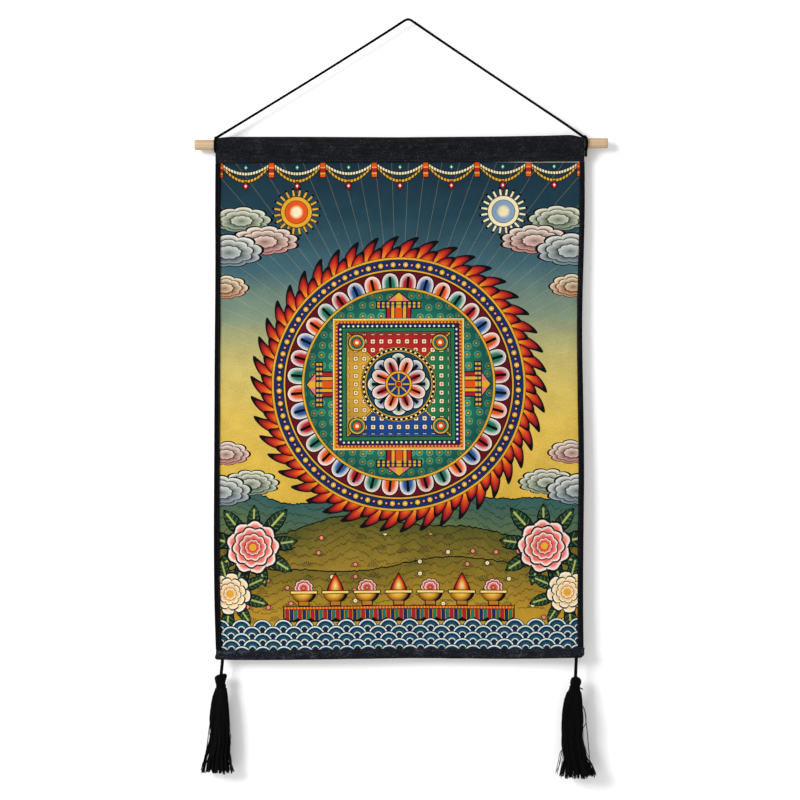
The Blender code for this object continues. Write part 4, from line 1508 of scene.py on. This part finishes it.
def add_canvas(front_finish, back_finish):
    """The canvas: one sheet, printed on its front."""
    columns, rows = 96, 128
    bm = bmesh.new()
    bmesh.ops.create_grid(bm, x_segments=columns, y_segments=rows, size=0.5)
    back = bmesh.ops.extrude_face_region(bm, geom=bm.faces[:])["geom"]
    back_verts = {g for g in back if isinstance(g, bmesh.types.BMVert)}
    flat = bm.loops.layers.uv.new("Print")
    bake = bm.loops.layers.uv.new("OFBake")
    middle = (HEADING_BOTTOM + HEM_TOP) / 2
    # on the bake map the front takes the left three quarters, then come the back and the thin edge
    front_end, back_start, back_end, edge_start = 0.74, 0.748, 0.985, 0.992
    for face in bm.faces:
        on_back = [vert in back_verts for vert in face.verts]
        is_edge = any(on_back) and not all(on_back)
        face.material_index = 0 if not any(on_back) else 1
        for loop, behind in zip(face.loops, on_back):
            across = loop.vert.co.x + 0.5
            up = loop.vert.co.y + 0.5
            z = part_way(PANEL_BOTTOM, PANEL_TOP, up)
            loop[flat].uv = ((across - 0.5) * (BODY_WIDTH - 2 * PANEL_INSET), z - middle)
            if is_edge:
                loop[bake].uv = (edge_start + 0.006 * behind, 0.01 + 0.98 * (across + up) / 2)
            elif behind:
                loop[bake].uv = (part_way(back_start, back_end, across), 0.002 + 0.996 * up)
            else:
                loop[bake].uv = (part_way(0.002, front_end, across), 0.002 + 0.996 * up)
    for vert in bm.verts:
        z = part_way(PANEL_BOTTOM, PANEL_TOP, vert.co.y + 0.5)
        left = side_x(-1, z) + PANEL_INSET
        right = side_x(1, z) - PANEL_INSET
        x = part_way(left, right, vert.co.x + 0.5)
        # the canvas cockles a little between its sewn edges
        inside = min(x - left, right - x, PANEL_TOP - z, z - PANEL_BOTTOM) / 0.03
        puff = held(inside - 0.2) * uneven((x, 0.3, z * 0.6), 0.0011, 0.055)
        vert.co = hung(x, (CANVAS_THICK / 2 if vert in back_verts else -CANVAS_THICK / 2) + puff, z)
    return add_piece("canvas", bm, [front_finish, back_finish], ["print_panel"])


def add_strip(name, section, stations, place, finish, replaced):
    """A folded strip of cloth, whose section of flat points is carried along it."""
    bm = bmesh.new()
    sweep(bm, len(section), stations, lambda station, i: place(station, *section[i]))
    return add_piece(name, bm, [finish], [replaced], sharp=50.0)


def filled(section, step):
    """The section with more points, so that no stretch between two of them is longer than the step."""
    points = []
    for (y0, z0), (y1, z1) in zip(section, [*section[1:], section[0]]):
        parts = max(1, round(math.hypot(y1 - y0, z1 - z0) / step))
        points += [(y0 + (y1 - y0) * i / parts, z0 + (z1 - z0) * i / parts) for i in range(parts)]
    return points


def add_heading(finish):
    """A sleeve folded over the dowel, its two layers closing on the top of the canvas."""
    inner_radius = SLEEVE_RADIUS - CLOTH
    outer_start = tangent_angle(SLEEVE_RADIUS, LAYERED, HEADING_SEAM)
    inner_start = tangent_angle(inner_radius, SLOT, HEADING_SEAM)
    fold = CLOTH * 0.32
    section = filled([
        (LAYERED - fold, HEADING_BOTTOM), (LAYERED, HEADING_BOTTOM + fold), (LAYERED, HEADING_SEAM),
        *arc(SLEEVE_RADIUS, outer_start, math.pi - outer_start, 30),
        (-LAYERED, HEADING_SEAM), (-LAYERED, HEADING_BOTTOM + fold), (-LAYERED + fold, HEADING_BOTTOM),
        (-SLOT, HEADING_BOTTOM), (-SLOT, HEADING_SEAM),
        *arc(inner_radius, math.pi - inner_start, inner_start, 30),
        (SLOT, HEADING_SEAM), (SLOT, HEADING_BOTTOM),
    ], 0.0016)

    def place(x, y, z):
        slack = 0.00035 * held((SLEEVE_RADIUS - abs(z)) / SLEEVE_RADIUS)
        pushed = y + math.copysign(uneven((x, y, z), slack, 0.012), y)
        end = 1 + uneven((x * 3, z, 0.7), 0.0006, 0.004) * (abs(x) > 0.17)
        drop = uneven((x, 0.0, 2.0), 0.00025, 0.02) if z < HEADING_SEAM else 0.0
        rise = eased(HEADING_RISE_ROWS, share_across(x), 1, 0.003) * max(z / SLEEVE_RADIUS, 0.0)
        # below the rod the left end stands out a little
        flare = held((-x - 0.166) / 0.008) * held((-z - 0.0072) / 0.002)
        return hung(x * end - HEADING_FLARE * flare, pushed, z + drop + rise)

    ends = 0.008
    stations = [
        *spaced(HEADING_LEFT, HEADING_LEFT + ends, 8),
        *spaced(HEADING_LEFT + ends, HEADING_RIGHT - ends, 100)[1:-1],
        *spaced(HEADING_RIGHT - ends, HEADING_RIGHT, 8),
    ]
    return add_strip("heading_sleeve", section, stations, place, finish, "heading")


def add_binding(name, side, finish, replaced):
    """A strip folded round the canvas's side edge. Its section runs inwards from the outer edge."""
    fold = CLOTH * 0.35
    section = filled([
        (BINDING_WIDTH - fold, -LAYERED), (CLOTH, -LAYERED), (fold, -LAYERED + fold), (0.0, -LAYERED + CLOTH),
        (0.0, LAYERED - CLOTH), (fold, LAYERED - fold), (CLOTH, LAYERED), (BINDING_WIDTH - fold, LAYERED),
        (BINDING_WIDTH, LAYERED - fold), (BINDING_WIDTH, SLOT), (CLOTH, SLOT), (CLOTH, -SLOT),
        (BINDING_WIDTH, -SLOT), (BINDING_WIDTH, -LAYERED + fold),
    ], 0.0014)

    def place(z, inwards, y):
        edge = uneven((side * 0.3, z, inwards * 5), 0.0003, 0.016) * (inwards / BINDING_WIDTH)
        inwards *= strip_width(z) / BINDING_WIDTH
        swell = 1 + uneven((z, side * 0.2, 0.4), 0.12, 0.02)
        return hung(side_x(side, z) - side * (inwards + edge), y * swell, z)

    return add_strip(name, section, spaced(HEADING_BOTTOM - GAP, HEM_TOP + GAP, 150), place, finish, replaced)


def add_hem(finish):
    """A strip folded round the canvas's foot, with a round pocket below it."""
    centre = (0.0, HEM_BOTTOM + HEM_RADIUS)
    lean = math.radians(20)
    section = filled([
        (LAYERED, HEM_TOP), (LAYERED, HEM_WAIST), *arc(HEM_RADIUS, lean, -math.pi - lean, 20, centre),
        (-LAYERED, HEM_WAIST), (-LAYERED, HEM_TOP), (-SLOT, HEM_TOP), (-SLOT, HEM_WAIST),
        *arc(POCKET_RADIUS, -math.pi - lean, lean, 16, centre), (SLOT, HEM_WAIST), (SLOT, HEM_TOP),
    ], 0.0009)

    def place(x, y, z):
        share = (HEM_TOP - z) / HEM_HEIGHT
        near_end = held((abs(x) - 0.150) / 0.020) ** 2
        side, column = (-1, 1) if x < 0 else (1, 2)
        out = eased(HEM_END_ROWS, held(share), column, 0.04) * near_end
        drop = uneven((x, 1.0, 0.0), 0.0002, 0.02)
        return hung(x + side * out, y, z + drop)

    return add_strip("hem_pocket", section, spaced(HEM_LEFT, HEM_RIGHT, 130), place, finish, "bottom_hem")


def stitch_pattern():
    bm = bmesh.new()
    bmesh.ops.create_uvsphere(bm, u_segments=6, v_segments=4, radius=1.0)
    return written("stitch_pattern", bm)


def sew(name, runs, finish):
    """Stitches along runs of places. Each run is a function from a share to a place, and a count."""
    bm = bmesh.new()
    pattern = stitch_pattern()
    for place, count in runs:
        for i in range(count):
            start, end = place((i + 0.16) / count), place((i + 0.84) / count)
            ahead = end - start
            turn = Vector((0.0, 0.0, 1.0)).rotation_difference(ahead.normalized()).to_matrix().to_4x4()
            size = Matrix.Diagonal((STITCH_RADIUS, STITCH_RADIUS, ahead.length / 2, 1.0))
            first = len(bm.verts)
            bm.from_mesh(pattern)
            bm.verts.ensure_lookup_table()
            bmesh.ops.transform(
                bm,
                matrix=Matrix.Translation((start + end) / 2) @ turn @ size,
                verts=bm.verts[first:],
            )
    bpy.data.meshes.remove(pattern)
    return add_piece(name, bm, [finish], sharp=80.0)


def add_stitching(finish):
    """Lines of stitches that hold the strips to the canvas, on the front and the back."""
    proud = 0.00008
    from_end = 0.002
    from_edge = 0.0013

    def run_across(y, z):
        start, end = HEADING_LEFT + from_end, HEADING_RIGHT - from_end
        return (lambda share: hung(part_way(start, end, share), y, z)), STITCHES_ACROSS

    def run_down(side, y):
        start, end = HEADING_BOTTOM - from_end, HEM_TOP + from_end

        def place(share):
            z = part_way(start, end, share)
            return hung(side_x(side, z) - side * (strip_width(z) - from_edge), y, z)

        return place, STITCHES_DOWN

    heading, bindings, hem = [], [], []
    for y in (-LAYERED - proud, LAYERED + proud):
        heading += [run_across(y, z) for z in (HEADING_BOTTOM + 0.0016, HEADING_SEAM + 0.0006)]
        hem.append(run_across(y, HEM_TOP - 0.0014))
        bindings += [run_down(side, y) for side in (-1, 1)]
    return [sew("heading_stitches", heading, finish), sew("binding_stitches", bindings, finish),
            sew("hem_stitches", hem, finish)]


def add_dowel(finish):
    """The rod, turned from bare wood, with its cut ends a little rounded."""
    sides = 40
    length = DOWEL_RIGHT - DOWEL_LEFT
    ease = 0.0005
    end = [0.0, ease * 0.3, ease]
    along = [*end, *spaced(0.004, length - 0.004, 40), *(length - run for run in reversed(end))]

    def place(run, i):
        angle = math.tau * i / sides
        from_end = min(run, length - run)
        eased_by = ease * (1 - min(from_end / ease, 1.0)) ** 2
        dent = uneven((run, math.cos(angle) * 0.01, math.sin(angle) * 0.01), 0.00005, 0.01)
        radius = DOWEL_RADIUS - eased_by + dent
        x = DOWEL_LEFT + run
        return SCROLL_AT + Vector((x, radius * math.cos(angle), radius * math.sin(angle) + TILT * x))

    bm = bmesh.new()
    sweep(bm, sides, along, place)
    return add_piece("rod", bm, [finish], ["dowel"], sharp=50.0)


# The studio

SCROLL_MIDDLE = Vector((-0.0078, 0.0, -0.38))
ROOM_LIGHT = 0.71
KEY_FROM = Vector((-1.0, -1.0, 0.52)) * 2.4
KEY_SIZE = 1.4
KEY_POWER = 115.0
WALL_Y = 0.0086
FLOOR_Z = -1.45


def add_plane(name, size, place, turn, finish):
    bm = bmesh.new()
    bmesh.ops.create_grid(bm, x_segments=1, y_segments=1, size=size / 2)
    bmesh.ops.transform(bm, matrix=Matrix.Translation(place) @ turn, verts=bm.verts)
    plane = linked(name, written(name, bm))
    plane.data.materials.append(finish)
    return plane


def backdrop_paint():
    """Plain white paint that shows from the front only, so that the scroll can be seen from behind."""
    finish = Finish("backdrop_paint", 0.9)
    finish.shader.inputs["Base Color"].default_value = grey(0.93)
    clear = finish.tree.nodes.new("ShaderNodeBsdfTransparent")
    behind = finish.node("ShaderNodeNewGeometry", {}, {}, "Backfacing")
    output = finish.tree.nodes["Material Output"]
    shown = finish.node("ShaderNodeMixShader", {}, {0: behind})
    mixer = shown.socket.node
    finish.tree.links.new(finish.shader.outputs[0], mixer.inputs[1])
    finish.tree.links.new(clear.outputs[0], mixer.inputs[2])
    finish.tree.links.new(mixer.outputs[0], output.inputs["Surface"])
    return finish.material


def add_light(name, place, aim, size, power):
    """A square soft light that points at the aim."""
    data = bpy.data.lights.new(name, "AREA")
    data.size = size
    data.energy = power
    lamp = linked(name, data)
    lamp.location = place
    lamp.rotation_euler = (Vector(aim) - Vector(place)).to_track_quat("-Z", "Y").to_euler()


def add_studio():
    scene = bpy.context.scene
    scene.view_settings.view_transform = "Standard"
    world = bpy.data.worlds.new("studio")
    world.use_nodes = True
    world.node_tree.nodes["Background"].inputs["Color"].default_value = (1.0, 1.0, 1.0, 1.0)
    world.node_tree.nodes["Background"].inputs["Strength"].default_value = ROOM_LIGHT
    scene.world = world
    upright = Matrix.Rotation(math.radians(90), 4, "X")
    wall = add_plane("backdrop", 5.0, Vector((0.0, WALL_Y, -0.36)), upright, backdrop_paint())
    for ray in ("diffuse", "glossy", "transmission", "shadow", "volume_scatter"):
        setattr(wall, "visible_" + ray, False)
    floor = Finish("floor_paint", 0.8)
    floor.shader.inputs["Base Color"].default_value = grey(0.86)
    add_plane("floor", 9.0, Vector((0.0, 0.0, FLOOR_Z)), Matrix.Identity(4), floor.material)
    add_light("key", SCROLL_MIDDLE + KEY_FROM, SCROLL_MIDDLE, KEY_SIZE, KEY_POWER)


# Making

add_camera()
cord_finish = black_cord("black_cord", (2, 2, 3), (9, 9, 11))
add_hanging_cord(cord_finish, [
    add_cord_end(side_name + "_cord_end", loop, cord_finish, "cord_loop_" + side_name)
    for side_name, loop in LOOPS.items()
])
thread_finish = tassel_thread()
for side_name, tassel in TASSELS.items():
    add_tassel_cord(side_name + "_tassel_cord", tassel, cord_finish, "tassel_cord_" + side_name)
    add_tassel(side_name + "_tassel", tassel, thread_finish, "tassel_" + side_name)
    add_neck_tie(side_name + "_neck_wrap", tassel, thread_finish, "neck_tie_" + side_name)
add_dowel(bare_wood())

twill = black_twill("black_twill", (9, 10, 12), (48, 50, 57))
# The hem's copy of the twill has paler flecks than the heading's. They are partly the cloth's own flecks and
# partly a painted highlight for the light the rounded hem catches
hem_flecks_and_highlight_twill = black_twill("hem_flecks_and_highlight_twill", (8, 9, 12), (66, 69, 82))
# Both side strips are the same black twill. The left strip's copy is darker than the right's: painted shade set
# against the key light that falls from the left
left_shaded_twill = black_twill("left_strip_twill_painted_shade", (1, 1, 2), (13, 12, 16))
right_twill = black_twill("right_strip_twill", (4, 4, 7), (31, 32, 42))
canvas = add_canvas(printed_canvas(), canvas_back())
heading = add_heading(twill)
hem = add_hem(hem_flecks_and_highlight_twill)
bindings = [
    add_binding("side_strip_left", -1, left_shaded_twill, "side_binding_left"),
    add_binding("side_strip_right", 1, right_twill, "side_binding_right"),
]
stitches = add_stitching(sewing_thread())
add_studio()
